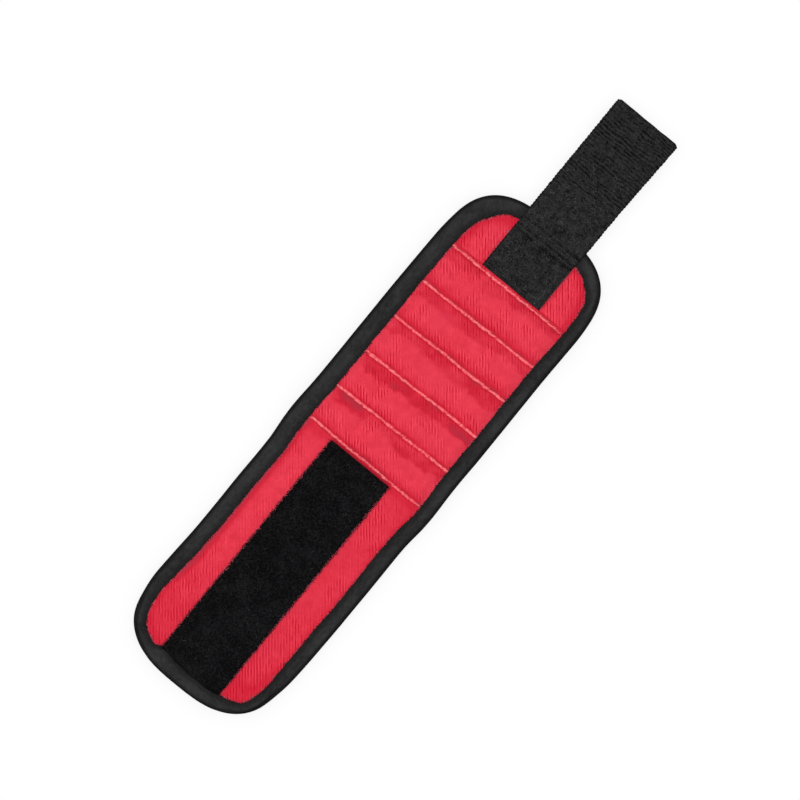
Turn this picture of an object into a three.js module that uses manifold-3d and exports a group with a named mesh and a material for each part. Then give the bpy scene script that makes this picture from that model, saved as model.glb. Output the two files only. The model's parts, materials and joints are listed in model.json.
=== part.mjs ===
// Magnetic wristband: a padded cloth cuff with five sewn magnet pockets, a loop-faced tail and a
// hook-faced closing strap. It lies flat on its lining, pockets up, with the strap towards +Y.
// Every soft layer is made whole and then parted at the fold lines, where the band bends.
import * as THREE from 'three';
import { mergeVertices } from 'three/addons/utils/BufferGeometryUtils.js';
import Module from 'manifold-3d';

const wasm = await Module();
wasm.setup();

// Plan sizes, in millimetres
const BODY_WIDTH = 90;
const TAIL_WIDTH = 88;
const TAIL_LENGTH = 147;
const ROW_COUNT = 5;
const ROW_PITCH = 22.7;
const HEAD_LENGTH = 40;
const HEAD_CORNER = 33;
const TAIL_CORNER = 29;
const TAIL_BOW_RADIUS = 150;
const WAIST_RUN = 14;
const TAPE_WIDTH = 38;
const STRAP_LENGTH = 71;
const STRAP_OFFSET = 2;
const STRAP_FOLD = 43;
const TAIL_SEGMENTS = 4;

// Thicknesses of the layers
const BINDING_TAPE = 0.8;
const LINING = 2.4;
const SHELL = 0.8;
const POCKET_CLOTH = 0.8;
const LOOP_GROUND = 0.8;
const LOOP_PILE = 1.2;
const STRAP_GROUND = 1;
const HOOK_PILE = 1.2;

// Sewn edges
const BINDING_WIDTH = 9.5;
const BINDING_ROUND = 0.7;
const POCKET_HEM = 2;
const SEAM_LAND = 1;
const POCKET_RISE_RUN = 5.2;
const POCKET_SIDE_RUN = 7.5;
const BINDING_RAMP = 5;
const STRAP_STEP_RUN = 2;
const HOOK_START = 5;
const SELVEDGE = 2;

// Magnets, two side by side in each pocket
const MAGNET_LENGTH = 26;
const MAGNET_WIDTH = 10;
const MAGNET_THICKNESS = 2;
const MAGNET_CORNER = 1;
const MAGNET_SPACING = 29;

// Fold lines: how far each bends towards the lining, how far all bend back, in degrees
const TAIL_WRAP = 43.5;
const TAIL_ROOT_WRAP = 42;
const SEAM_WRAP = 25.5;
const HEAD_WRAP = 35.5;
const STRAP_WRAP = 50;
const BODY_BACK = 20;
const STRAP_BACK = 60;
const FOLD_GAP = 0.3;

// Fits and fineness of the curves
const CLEARANCE = 0.3;
const CORNER_STEPS = 9;
const BOW_STEPS = 6;
const WAIST_STEPS = 4;
const SLOPE_STEPS = 5;
const MAGNET_CORNER_STEPS = 3;
const MERGE_DISTANCE = 1e-5;

// Levels of the stacked layers
const shellBottom = LINING;
const shellTop = shellBottom + SHELL;
const edgeTop = shellTop + BINDING_TAPE;
const strapBottom = edgeTop;
const strapTop = strapBottom + STRAP_GROUND;
const pocketRise = MAGNET_THICKNESS + CLEARANCE;

// Places along the band, from the tail end at 0 to the strap tip
const rowsLength = ROW_COUNT * ROW_PITCH;
const lowerEdge = TAIL_LENGTH - POCKET_HEM;
const upperEdge = TAIL_LENGTH + rowsLength + POCKET_HEM;
const headEnd = TAIL_LENGTH + rowsLength + HEAD_LENGTH;
const bandEnd = headEnd + STRAP_LENGTH;
const headFlat = BODY_WIDTH / 2 - HEAD_CORNER;

// Finishes
const finish = (color, roughness, metalness = 0) =>
  new THREE.MeshStandardMaterial({ color, roughness, metalness });
const redCloth = finish('#e13a4f', 0.85);
const airMesh = finish('#1d1d1f', 0.95);
const bindingTape = finish('#2c2c2a', 0.8);
const loopTape = finish('#151416', 1);
const hookTape = finish('#262626', 0.75);
const nickel = finish('#c9c9c4', 0.3, 1);

const band = new THREE.Group();

// Solids for joins and cuts
function solidOf(geometry) {
  const bare = geometry.clone();
  bare.deleteAttribute('normal');
  bare.deleteAttribute('uv');
  const merged = mergeVertices(bare, MERGE_DISTANCE);
  const mesh = new wasm.Mesh({
    numProp: 3,
    vertProperties: Float32Array.from(merged.attributes.position.array),
    triVerts: Uint32Array.from(merged.index.array),
  });
  return new wasm.Manifold(mesh);
}

function geometryOf(solid) {
  const mesh = solid.getMesh();
  const geometry = new THREE.BufferGeometry();
  geometry.setAttribute('position', new THREE.BufferAttribute(mesh.vertProperties, mesh.numProp));
  geometry.setIndex(new THREE.BufferAttribute(mesh.triVerts, 1));
  geometry.computeVertexNormals();
  return geometry;
}

function addPiece(name, solid, material) {
  const mesh = new THREE.Mesh(geometryOf(solid), material);
  mesh.name = name;
  band.add(mesh);
}

// A flat sheet cut to a plan outline
function plate(points, bottom, top) {
  const geometry = new THREE.ExtrudeGeometry(new THREE.Shape(points), {
    depth: top - bottom,
    bevelEnabled: false,
  });
  return solidOf(geometry.translate(0, 0, bottom));
}

// A side profile, along the band and up, run across the band
const acrossBand = new THREE.Matrix4().makeBasis(
  new THREE.Vector3(0, 1, 0),
  new THREE.Vector3(0, 0, 1),
  new THREE.Vector3(1, 0, 0),
);
function bar(profile, left, right) {
  const shape = new THREE.Shape(profile.map(([along, up]) => new THREE.Vector2(along, up)));
  const geometry = new THREE.ExtrudeGeometry(shape, { depth: right - left, bevelEnabled: false });
  return solidOf(geometry.applyMatrix4(acrossBand).translate(left, 0, 0));
}

// A smooth step from 0 to 1
const ease = (share) => {
  const held = Math.min(Math.max(share, 0), 1);
  return held * held * (3 - 2 * held);
};

// Outline of the cuff, counter-clockwise, as stations with an inward direction. The rise is what
// lies between the shell and the binding there: pocket cloth at the rows, loop tape at the tail end.
function outlineStations() {
  const stations = [];
  const add = (x, y, inwardX, inwardY, rise) => {
    stations.push({
      point: new THREE.Vector2(x, y),
      inward: new THREE.Vector2(inwardX, inwardY),
      rise,
    });
  };
  const arc = (centreX, centreY, radius, from, to, steps, rise) => {
    for (let step = 0; step <= steps; step++) {
      const angle = from + ((to - from) * step) / steps;
      const outX = Math.cos(angle);
      const outY = Math.sin(angle);
      add(centreX + radius * outX, centreY + radius * outY, -outX, -outY, rise);
    }
  };
  const half = BODY_WIDTH / 2;
  const tailHalf = TAIL_WIDTH / 2;
  const waist = (side, step) => {
    const share = step / WAIST_STEPS;
    const x = tailHalf + (half - tailHalf) * ease(share);
    const rise = step === WAIST_STEPS ? POCKET_CLOTH : 0;
    add(side * x, lowerEdge - WAIST_RUN * (1 - share), -side, 0, rise);
  };
  const quarter = Math.PI / 2;
  const cornerX = tailHalf - TAIL_CORNER;
  const reach = TAIL_BOW_RADIUS - TAIL_CORNER;
  const cornerY = TAIL_BOW_RADIUS - Math.sqrt(reach ** 2 - cornerX ** 2);
  const bowEndX = (cornerX * TAIL_BOW_RADIUS) / reach;
  const tapeEdge = TAPE_WIDTH / 2 + CLEARANCE;
  const fanned = cornerX + ((tapeEdge - cornerX) * TAIL_CORNER) / (TAIL_CORNER - BINDING_WIDTH);
  const raised = Math.max(fanned, (tapeEdge * TAIL_BOW_RADIUS) / (TAIL_BOW_RADIUS - BINDING_WIDTH));
  const cornerEndX = Math.max(raised + BINDING_RAMP, bowEndX);
  const cornerAngle = Math.acos((cornerEndX - cornerX) / TAIL_CORNER);
  const tailEnd = (x) => {
    const onBow = Math.abs(x) <= bowEndX;
    const radius = onBow ? TAIL_BOW_RADIUS : TAIL_CORNER;
    const centreX = onBow ? 0 : Math.sign(x) * cornerX;
    const outX = (x - centreX) / radius;
    const outY = -Math.sqrt(1 - outX ** 2);
    const centreY = onBow ? TAIL_BOW_RADIUS : cornerY;
    add(x, centreY + radius * outY, -outX, -outY, LOOP_GROUND);
  };

  for (let step = 0; step <= WAIST_STEPS; step++) waist(1, step);
  add(half, upperEdge, -1, 0, POCKET_CLOTH);
  add(half, Math.min(upperEdge + BINDING_RAMP, headEnd - HEAD_CORNER), -1, 0, 0);
  arc(headFlat, headEnd - HEAD_CORNER, HEAD_CORNER, 0, quarter, CORNER_STEPS, 0);
  arc(-headFlat, headEnd - HEAD_CORNER, HEAD_CORNER, quarter, 2 * quarter, CORNER_STEPS, 0);
  add(-half, Math.min(upperEdge + BINDING_RAMP, headEnd - HEAD_CORNER), 1, 0, 0);
  add(-half, upperEdge, 1, 0, POCKET_CLOTH);
  for (let step = WAIST_STEPS; step >= 0; step--) waist(-1, step);
  arc(-cornerX, cornerY, TAIL_CORNER, 2 * quarter, 2 * quarter + cornerAngle, CORNER_STEPS, 0);
  for (let step = 0; step <= BOW_STEPS; step++) tailEnd(raised * ((2 * step) / BOW_STEPS - 1));
  arc(cornerX, cornerY, TAIL_CORNER, 4 * quarter - cornerAngle, 4 * quarter, CORNER_STEPS, 0);
  const apart = (station, index) => {
    const last = stations[(index + stations.length - 1) % stations.length];
    return station.point.distanceTo(last.point) > CLEARANCE;
  };
  return stations.filter(apart);
}
const outline = outlineStations();

function insetOutline(inset) {
  return outline.map(({ point, inward }) => point.clone().addScaledVector(inward, inset));
}

// Joins rings of points, each ring closed, into one closed loop of surface
function ringLoop(rings) {
  const count = rings[0].length;
  const positions = rings.flat().flatMap((point) => [point.x, point.y, point.z]);
  const index = [];
  rings.forEach((ring, i) => {
    const next = (i + 1) % rings.length;
    for (let j = 0; j < count; j++) {
      const k = (j + 1) % count;
      const a = i * count + j;
      const b = i * count + k;
      const c = next * count + k;
      const d = next * count + j;
      index.push(a, d, c, a, c, b);
    }
  });
  const geometry = new THREE.BufferGeometry();
  geometry.setAttribute('position', new THREE.Float32BufferAttribute(positions, 3));
  geometry.setIndex(index);
  return geometry;
}

// Edge binding: one tape folded round the rim of every layer, a U in section
function bindingSolid() {
  const bevel = BINDING_ROUND * (1 - Math.SQRT1_2);
  const rings = outline.map(({ point, inward, rise }) => {
    const top = edgeTop + rise;
    const section = [
      [BINDING_WIDTH, 0],
      [BINDING_ROUND, 0],
      [bevel, bevel],
      [0, BINDING_ROUND],
      [0, top - BINDING_ROUND],
      [bevel, top - bevel],
      [BINDING_ROUND, top],
      [BINDING_WIDTH, top],
      [BINDING_WIDTH, top - BINDING_TAPE],
      [BINDING_TAPE, top - BINDING_TAPE],
      [BINDING_TAPE, BINDING_TAPE],
      [BINDING_WIDTH, BINDING_TAPE],
    ];
    return section.map(([inset, z]) => {
      const at = point.clone().addScaledVector(inward, inset);
      return new THREE.Vector3(at.x, at.y, z);
    });
  });
  return solidOf(ringLoop(rings));
}

// A sheet of even thickness over a grid, with its top at height(x, y)
function sheetSolid(xs, ys, thickness, height) {
  const rings = xs.map((x) => {
    const over = ys.map((y) => new THREE.Vector3(x, y, height(x, y)));
    const under = ys.map((y) => new THREE.Vector3(x, y, height(x, y) - thickness));
    return [...over, ...under.reverse()];
  });
  const count = rings[0].length;
  const positions = rings.flat().flatMap((point) => [point.x, point.y, point.z]);
  const index = [];
  for (let i = 0; i + 1 < rings.length; i++) {
    for (let j = 0; j < count; j++) {
      const k = (j + 1) % count;
      const a = i * count + j;
      const b = i * count + k;
      const c = a + count;
      const d = b + count;
      index.push(a, c, b, b, c, d);
    }
  }
  const last = (rings.length - 1) * count;
  for (let j = 0; j + 1 < ys.length; j++) {
    const far = count - 1 - j;
    index.push(j, j + 1, far, j + 1, far - 1, far);
    index.push(last + j, last + far, last + j + 1, last + j + 1, last + far, last + far - 1);
  }
  const geometry = new THREE.BufferGeometry();
  geometry.setAttribute('position', new THREE.Float32BufferAttribute(positions, 3));
  geometry.setIndex(index);
  return solidOf(geometry);
}

// Pocket cloth: flat on the shell at each seam and under the binding, crowned over the magnets
function slope(from, run) {
  return Array.from({ length: SLOPE_STEPS + 1 }, (_, step) => from + (run * step) / SLOPE_STEPS);
}
function pocketSolid(seamLow, seamHigh, edgeLow, edgeHigh) {
  const rim = BODY_WIDTH / 2 - BINDING_TAPE - CLEARANCE;
  const inner = BODY_WIDTH / 2 - BINDING_WIDTH;
  const footLow = seamLow + SEAM_LAND;
  const footHigh = seamHigh - SEAM_LAND;
  const rightSide = [...slope(inner - POCKET_SIDE_RUN, POCKET_SIDE_RUN), rim];
  const xs = [...rightSide.map((x) => -x).reverse(), ...rightSide];
  const ys = [
    edgeLow,
    ...slope(footLow, POCKET_RISE_RUN),
    ...slope(footHigh - POCKET_RISE_RUN, POCKET_RISE_RUN),
    edgeHigh,
  ];
  const crown = (x, y) => {
    const along = Math.min(y - footLow, footHigh - y) / POCKET_RISE_RUN;
    const across = (inner - Math.abs(x)) / POCKET_SIDE_RUN;
    return shellTop + POCKET_CLOTH + pocketRise * ease(along) * ease(across);
  };
  return sheetSolid(xs, ys, POCKET_CLOTH, crown);
}

function magnetSolid(centreX, centreY) {
  const halfLength = MAGNET_LENGTH / 2;
  const halfWidth = MAGNET_WIDTH / 2;
  const shape = new THREE.Shape();
  const corners = [[1, 1, 0], [-1, 1, 1], [-1, -1, 2], [1, -1, 3]];
  for (const [sideX, sideY, quarters] of corners) {
    const x = centreX + sideX * (halfLength - MAGNET_CORNER);
    const y = centreY + sideY * (halfWidth - MAGNET_CORNER);
    const from = (quarters * Math.PI) / 2;
    shape.absarc(x, y, MAGNET_CORNER, from, from + Math.PI / 2, false);
  }
  const geometry = new THREE.ExtrudeGeometry(shape, {
    depth: MAGNET_THICKNESS,
    bevelEnabled: false,
    curveSegments: MAGNET_CORNER_STEPS,
  });
  return solidOf(geometry.translate(0, 0, shellTop));
}

// Loop tape: its ground runs under the binding at the tail end, its pile stops at the binding
function loopSolid() {
  const half = TAPE_WIDTH / 2;
  const groundTop = shellTop + LOOP_GROUND;
  const strip = (bottom, top) =>
    bar([[0, bottom], [lowerEdge, bottom], [lowerEdge, top], [0, top]], -half, half);
  const ground = strip(shellTop, groundTop)
    .intersect(plate(insetOutline(BINDING_TAPE + CLEARANCE), shellTop, groundTop));
  const pileTop = groundTop + LOOP_PILE;
  const pile = strip(groundTop, pileTop)
    .intersect(plate(insetOutline(BINDING_WIDTH + CLEARANCE), groundTop, pileTop));
  return ground.add(pile);
}

// Hook strap: sewn to the head from the pocket edge outwards, over the binding, then free
function strapSolid() {
  const left = STRAP_OFFSET - TAPE_WIDTH / 2;
  const right = STRAP_OFFSET + TAPE_WIDTH / 2;
  const innerCorner = HEAD_CORNER - BINDING_WIDTH;
  const pastFlat = Math.max(right - headFlat, 0);
  const cornerDrop = innerCorner - Math.sqrt(innerCorner ** 2 - pastFlat ** 2);
  const stepHigh = headEnd - BINDING_WIDTH - cornerDrop - CLEARANCE;
  const stepLow = stepHigh - STRAP_STEP_RUN;
  const ground = bar([
    [upperEdge, shellTop],
    [stepLow, shellTop],
    [stepHigh, strapBottom],
    [bandEnd, strapBottom],
    [bandEnd, strapTop],
    [stepHigh, strapTop],
    [stepLow, shellTop + STRAP_GROUND],
    [upperEdge, shellTop + STRAP_GROUND],
  ], left, right);
  const hooksBottom = strapBottom - HOOK_PILE;
  const hooks = bar([
    [headEnd + HOOK_START, hooksBottom],
    [bandEnd, hooksBottom],
    [bandEnd, strapBottom],
    [headEnd + HOOK_START, strapBottom],
  ], left + SELVEDGE, right - SELVEDGE);
  return ground.add(hooks);
}

// Fold lines from the tail end to the strap, each with its axis level and its two bends
const fold = (at, axis, wrap, back) => ({ at, axis, wrap, back });
const tailStep = lowerEdge / TAIL_SEGMENTS;
const tailFolds = Array.from({ length: TAIL_SEGMENTS - 1 }, (_, i) =>
  fold((i + 1) * tailStep, shellBottom, TAIL_WRAP, BODY_BACK));
const rowFolds = Array.from({ length: ROW_COUNT - 1 }, (_, i) =>
  fold(TAIL_LENGTH + (i + 1) * ROW_PITCH, shellBottom, SEAM_WRAP, BODY_BACK));
const lowerFold = fold(lowerEdge, shellBottom, TAIL_ROOT_WRAP, BODY_BACK);
const upperFold = fold(upperEdge, shellBottom, HEAD_WRAP, BODY_BACK);
const strapFolds = [headEnd, headEnd + STRAP_FOLD].map((at) =>
  fold(at, strapBottom, STRAP_WRAP, STRAP_BACK));

// The room of one length of the band between two fold lines: its end faces lean away from each
// fold line above and below, so that the neighbours stay clear of each other over the whole bend.
const roomBottom = -CLEARANCE;
const roomTop = strapTop + pocketRise;
const past = BODY_WIDTH;
function foldFace(line, direction) {
  const lean = (degrees, height) => height * Math.tan(THREE.MathUtils.degToRad(degrees / 2));
  const start = line.at + (direction * FOLD_GAP) / 2;
  return [
    [start + direction * lean(line.wrap, line.axis - roomBottom), roomBottom],
    [start, line.axis],
    [start + direction * lean(line.back, roomTop - line.axis), roomTop],
  ];
}
function room(lowLine, highLine) {
  const low = lowLine ? foldFace(lowLine, 1) : [[-past, roomBottom], [-past, roomTop]];
  const high = highLine
    ? foldFace(highLine, -1)
    : [[bandEnd + past, roomBottom], [bandEnd + past, roomTop]];
  return bar([...high, ...low.reverse()], -past, past);
}

// Whole layers
const lining = plate(insetOutline(BINDING_TAPE + CLEARANCE), BINDING_TAPE, LINING)
  .add(plate(insetOutline(BINDING_WIDTH + CLEARANCE), 0, BINDING_TAPE));
const shell = plate(insetOutline(BINDING_TAPE + CLEARANCE), shellBottom, shellTop);
const binding = bindingSolid();
const loops = loopSolid();
const strap = strapSolid();
const sideRoom = (side) => {
  const edges = side < 0 ? [-past, 0] : [0, past];
  const profile = [[-past, roomBottom], [bandEnd, roomBottom], [bandEnd, roomTop], [-past, roomTop]];
  return bar(profile, ...edges);
};
const bindingSides = { left: binding.intersect(sideRoom(-1)), right: binding.intersect(sideRoom(1)) };

// Tail: four lengths, the last one rounded and bound across its end
const tailLines = [null, ...tailFolds, lowerFold];
for (let i = 0; i < TAIL_SEGMENTS; i++) {
  const number = TAIL_SEGMENTS - i;
  const space = room(tailLines[i], tailLines[i + 1]);
  addPiece(`shell_tail_${number}`, shell.intersect(space), redCloth);
  addPiece(`lining_tail_${number}`, lining.intersect(space), airMesh);
  addPiece(`loop_tape_${number}`, loops.intersect(space), loopTape);
  if (i === 0) {
    addPiece('binding_tail_end', binding.intersect(space), bindingTape);
    continue;
  }
  for (const [side, solid] of Object.entries(bindingSides)) {
    addPiece(`binding_${side}_tail_${number}`, solid.intersect(space), bindingTape);
  }
}

// Rows: a pocket with two magnets between each pair of seams, numbered from the head
const rowLines = [lowerFold, ...rowFolds, upperFold];
for (let i = 0; i < ROW_COUNT; i++) {
  const number = ROW_COUNT - i;
  const space = room(rowLines[i], rowLines[i + 1]);
  const seamLow = TAIL_LENGTH + i * ROW_PITCH;
  const seamHigh = seamLow + ROW_PITCH;
  addPiece(`shell_row_${number}`, shell.intersect(space), redCloth);
  addPiece(`lining_row_${number}`, lining.intersect(space), airMesh);
  const pocket = pocketSolid(seamLow, seamHigh, rowLines[i].at, rowLines[i + 1].at);
  addPiece(`pocket_row_${number}`, pocket.intersect(space), redCloth);
  for (const [side, solid] of Object.entries(bindingSides)) {
    addPiece(`binding_${side}_row_${number}`, solid.intersect(space), bindingTape);
    const centreX = ((side === 'left' ? -1 : 1) * MAGNET_SPACING) / 2;
    addPiece(`magnet_${side}_row_${number}`, magnetSolid(centreX, seamLow + ROW_PITCH / 2), nickel);
  }
}

// Head, with the strap's sewn root, and the free strap in two lengths
const headSpace = room(upperFold, strapFolds[0]);
addPiece('shell_head', shell.intersect(headSpace), redCloth);
addPiece('lining_head', lining.intersect(headSpace), airMesh);
addPiece('binding_head', binding.intersect(room(upperFold, null)), bindingTape);
addPiece('strap_root', strap.intersect(headSpace), hookTape);
addPiece('strap_1', strap.intersect(room(strapFolds[0], strapFolds[1])), hookTape);
addPiece('strap_2', strap.intersect(room(strapFolds[1], null)), hookTape);

// The origin is under the middle of the whole band
band.position.y = -bandEnd / 2;
export default band;
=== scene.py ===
# %% [markdown]
# A magnetic wristband, lying flat with its pockets up. It is sewn from a few thin layers: an air-mesh
# lining below, a red twill shell, a puffed pocket panel over the magnets, a strip of loop pile on the
# tail, a ribbed hook strap at the head, and one tape bound round the rim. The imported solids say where
# every layer lies and where the band folds. Here each layer gets its real surface.

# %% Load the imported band
import json
import math

import bmesh
import bpy
import numpy as np
from mathutils import Matrix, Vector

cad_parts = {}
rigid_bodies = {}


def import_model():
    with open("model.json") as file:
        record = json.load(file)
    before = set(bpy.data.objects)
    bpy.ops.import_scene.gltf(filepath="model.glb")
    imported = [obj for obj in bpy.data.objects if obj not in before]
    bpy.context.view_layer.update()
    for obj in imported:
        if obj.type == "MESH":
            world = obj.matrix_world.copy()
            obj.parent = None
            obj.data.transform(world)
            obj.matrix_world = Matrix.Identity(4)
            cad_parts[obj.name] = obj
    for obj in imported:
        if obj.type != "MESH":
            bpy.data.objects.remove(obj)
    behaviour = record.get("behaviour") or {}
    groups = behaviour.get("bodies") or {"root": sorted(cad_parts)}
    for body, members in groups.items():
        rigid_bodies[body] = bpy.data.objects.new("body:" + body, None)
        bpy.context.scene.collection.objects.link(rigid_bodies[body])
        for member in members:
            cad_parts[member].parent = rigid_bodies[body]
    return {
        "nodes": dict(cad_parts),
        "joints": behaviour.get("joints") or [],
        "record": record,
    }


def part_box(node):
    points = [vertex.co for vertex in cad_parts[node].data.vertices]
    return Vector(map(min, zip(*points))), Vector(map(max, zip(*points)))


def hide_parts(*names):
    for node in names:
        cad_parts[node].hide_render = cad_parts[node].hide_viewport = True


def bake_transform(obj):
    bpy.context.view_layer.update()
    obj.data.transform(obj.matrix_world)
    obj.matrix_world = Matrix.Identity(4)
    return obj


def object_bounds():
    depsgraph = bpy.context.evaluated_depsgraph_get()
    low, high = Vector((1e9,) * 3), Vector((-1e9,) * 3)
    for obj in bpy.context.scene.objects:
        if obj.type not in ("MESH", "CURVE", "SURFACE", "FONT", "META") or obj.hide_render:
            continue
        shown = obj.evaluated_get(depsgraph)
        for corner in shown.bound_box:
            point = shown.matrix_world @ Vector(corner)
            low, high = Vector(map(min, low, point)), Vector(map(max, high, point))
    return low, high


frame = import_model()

MM = 0.001
cad_low, cad_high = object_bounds()
print("band", [round(side / MM, 1) for side in cad_high - cad_low], "mm")

# %% [markdown]
# The photograph looks straight down on the band, which lies slantwise across the picture. Turning the
# band would take it out of its frame, so the camera turns instead. A long lens far away keeps the two
# sides of the band parallel, as they are there.

# %% Camera
SLANT = math.radians(39.36)
PICTURE_WIDTH = 403.7
LENS = 100
SENSOR = 36
AIM = (-5.14, -2.72)

camera = bpy.data.objects.new("camera", bpy.data.cameras.new("camera"))
camera.data.lens = LENS
camera.data.sensor_width = SENSOR
camera.location = (AIM[0] * MM, AIM[1] * MM, PICTURE_WIDTH * MM * LENS / SENSOR + cad_high.z)
camera.rotation_euler = (0, 0, SLANT)
bpy.context.scene.collection.objects.link(camera)
bpy.context.scene.camera = camera
bpy.context.scene.view_settings.view_transform = "Standard"
print("camera", round(camera.location.z, 3), "m above the floor")

# %% [markdown]
# Two small helpers serve every finish. One turns a colour written as a web hex value into the linear
# numbers that shaders use. The other adds a node: it sets the node up, feeds its inputs with numbers,
# colours or other nodes' outputs, and gives back the one output that the next node needs.

# %% Colour and node helpers
def linear(hex_colour):
    shares = [int(hex_colour[at:at + 2], 16) / 255 for at in (1, 3, 5)]
    curve = [s / 12.92 if s <= 0.04045 else ((s + 0.055) / 1.055) ** 2.4 for s in shares]
    return (*curve, 1.0)


def add_node(tree, kind, feeds=None, out=0, **settings):
    node = tree.nodes.new("ShaderNode" + kind)
    for name, value in settings.items():
        setattr(node, name, value)
    for name, value in (feeds or {}).items():
        if isinstance(value, bpy.types.NodeSocket):
            tree.links.new(value, node.inputs[name])
        else:
            node.inputs[name].default_value = value
    return node.outputs[out] if node.outputs else node


print("red twill's pale yarn in linear numbers", [round(share, 3) for share in linear("#ff4b5c")])

# %% [markdown]
# The studio is white all round. A ring of lamps could give that, but one world colour lights every side
# evenly. To the camera, to plated metal and to clear things it is plain white. To the cloth it is a
# dimmer, slightly cool sky, so that the colours come out about as they are written.

# %% White world
SKY = 0.42


def light_world():
    world = bpy.data.worlds.new("white_studio")
    world.use_nodes = True
    tree = world.node_tree
    tree.nodes.clear()
    seen = add_node(tree, "LightPath", out="Is Camera Ray")
    for ray in ("Is Glossy Ray", "Is Transmission Ray"):
        other = add_node(tree, "LightPath", out=ray)
        seen = add_node(tree, "Math", {0: seen, 1: other}, operation="MAXIMUM")
    soft = add_node(tree, "Background", {"Color": linear("#f4f6ff"), "Strength": SKY})
    white = add_node(tree, "Background", {"Color": linear("#ffffff"), "Strength": 1.0})
    shown = add_node(tree, "MixShader", {0: seen, 1: soft, 2: white})
    add_node(tree, "OutputWorld", {"Surface": shown})
    bpy.context.scene.world = world


light_world()
print("sky strength", SKY)

# %% [markdown]
# Two lamps give the band its form: one right above it and one high over the tail's left corner. They are
# wide disks, because a small lamp would draw hard shadows that the photograph doesn't have.

# %% Lamps
KEY_PLACE, KEY_SIZE, KEY_WATTS = (-0.6, -1.1, 2.5), 1.2, 26.0
TOP_PLACE, TOP_SIZE, TOP_WATTS = (0.1, 0.2, 2.8), 1.8, 28.0


def add_lamp(name, place, size, watts):
    lamp = bpy.data.lights.new(name, "AREA")
    lamp.shape = "DISK"
    lamp.size = size
    lamp.energy = watts
    holder = bpy.data.objects.new(name, lamp)
    holder.location = place
    holder.rotation_euler = (-holder.location).to_track_quat("-Z", "Y").to_euler()
    bpy.context.scene.collection.objects.link(holder)


add_lamp("key_lamp", KEY_PLACE, KEY_SIZE, KEY_WATTS)
add_lamp("top_lamp", TOP_PLACE, TOP_SIZE, TOP_WATTS)
print("lamps of", KEY_WATTS, "and", TOP_WATTS, "watts")

# %% [markdown]
# The floor is a pale sheet that bounces light on the band. A plain white plane would do for the band at
# rest, but a closed cuff curls down past the floor's level and would vanish in it. So to the camera the
# sheet is clear but for the soft shadow that the band leaves on it, worked out from how much of the sky
# each spot of floor can see. From below the sheet is clear to all light.

# %% Floor paper
SHADOW_REACH = 10.0
SHADOW_DEPTH = 0.8
UNDER_REACH = 150.0


def make_paper():
    paper = bpy.data.materials.new("white_paper")
    paper.use_nodes = True
    tree = paper.node_tree
    tree.nodes.clear()
    sky = add_node(tree, "AmbientOcclusion", {"Distance": SHADOW_REACH * MM}, out="AO", samples=8)
    under = add_node(tree, "AmbientOcclusion", {"Distance": UNDER_REACH * MM}, out="AO", samples=8,
                     inside=True)
    hidden = add_node(tree, "Math", {0: 1.0, 1: sky}, operation="SUBTRACT")
    free = add_node(tree, "MapRange", {"Value": under, "From Min": 0.9})
    cast = add_node(tree, "Math", {0: hidden, 1: free}, operation="MULTIPLY")
    shade = add_node(tree, "MapRange", {"Value": cast, "To Min": 1.0, "To Max": SHADOW_DEPTH})
    dim = add_node(tree, "CombineColor", {channel: shade for channel in range(3)})
    clear = add_node(tree, "BsdfTransparent", {"Color": dim})
    passing = add_node(tree, "BsdfTransparent")
    matt = add_node(tree, "BsdfDiffuse", {"Color": linear("#f2f2f2")})
    shadow_ray = add_node(tree, "LightPath", out="Is Shadow Ray")
    from_below = add_node(tree, "NewGeometry", out="Backfacing")
    through = add_node(tree, "Math", {0: shadow_ray, 1: from_below}, operation="MAXIMUM")
    lit = add_node(tree, "MixShader", {0: through, 1: matt, 2: passing})
    camera_ray = add_node(tree, "LightPath", out="Is Camera Ray")
    shown = add_node(tree, "MixShader", {0: camera_ray, 1: lit, 2: clear})
    add_node(tree, "OutputMaterial", {"Surface": shown})
    return paper


paper = make_paper()
print("finish", paper.name)

# %% [markdown]
# The sheet lies a hair's breadth below the band, so that the two never flicker through each other.

# %% Floor
FLOOR_SIZE = 3.0
FLOOR_GAP = 0.2


def add_floor():
    bm = bmesh.new()
    bmesh.ops.create_grid(bm, x_segments=1, y_segments=1, size=FLOOR_SIZE)
    bmesh.ops.translate(bm, verts=bm.verts, vec=(0, 0, -FLOOR_GAP * MM))
    mesh = bpy.data.meshes.new("floor")
    bm.to_mesh(mesh)
    bm.free()
    mesh.materials.append(paper)
    floor = bpy.data.objects.new("floor", mesh)
    bpy.context.scene.collection.objects.link(floor)


add_floor()
print("floor", 2 * FLOOR_SIZE, "m wide")

# %% [markdown]
# The band folds at eleven lines, from the tail to the strap tip. Cloth that runs across a fold has to
# bend there, and a piece can bend over one line only. Pieces that ended at the lines would gape when the
# band closes. So every layer is made whole and then parted half way between the lines, where nothing
# bends.

joints = {joint["name"]: joint for joint in frame["joints"]}
fold_names = sorted(joints, key=lambda name: joints[name]["pos_m"][1])
fold_at = {name: joints[name]["pos_m"][1] / MM for name in fold_names}
cuff_folds = fold_names[:9]
tail_folds = fold_names[:4]
pocket_folds = fold_names[3:9]
strap_folds = fold_names[8:]


def stretches(names):
    """Each of a layer's folds with the stretch between the half-way lines on its two sides. The first
    and the last stretch run on to the layer's ends."""
    middles = [(fold_at[a] + fold_at[b]) / 2 for a, b in zip(names, names[1:])]
    return list(zip(names, [-math.inf, *middles], [*middles, math.inf]))


print("fold lines at", [round(fold_at[name], 2) for name in fold_names])

# %% [markdown]
# The folds and the outer box also tell where the layers begin and end along the band, so these places
# are read from there and not typed in again.

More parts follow.
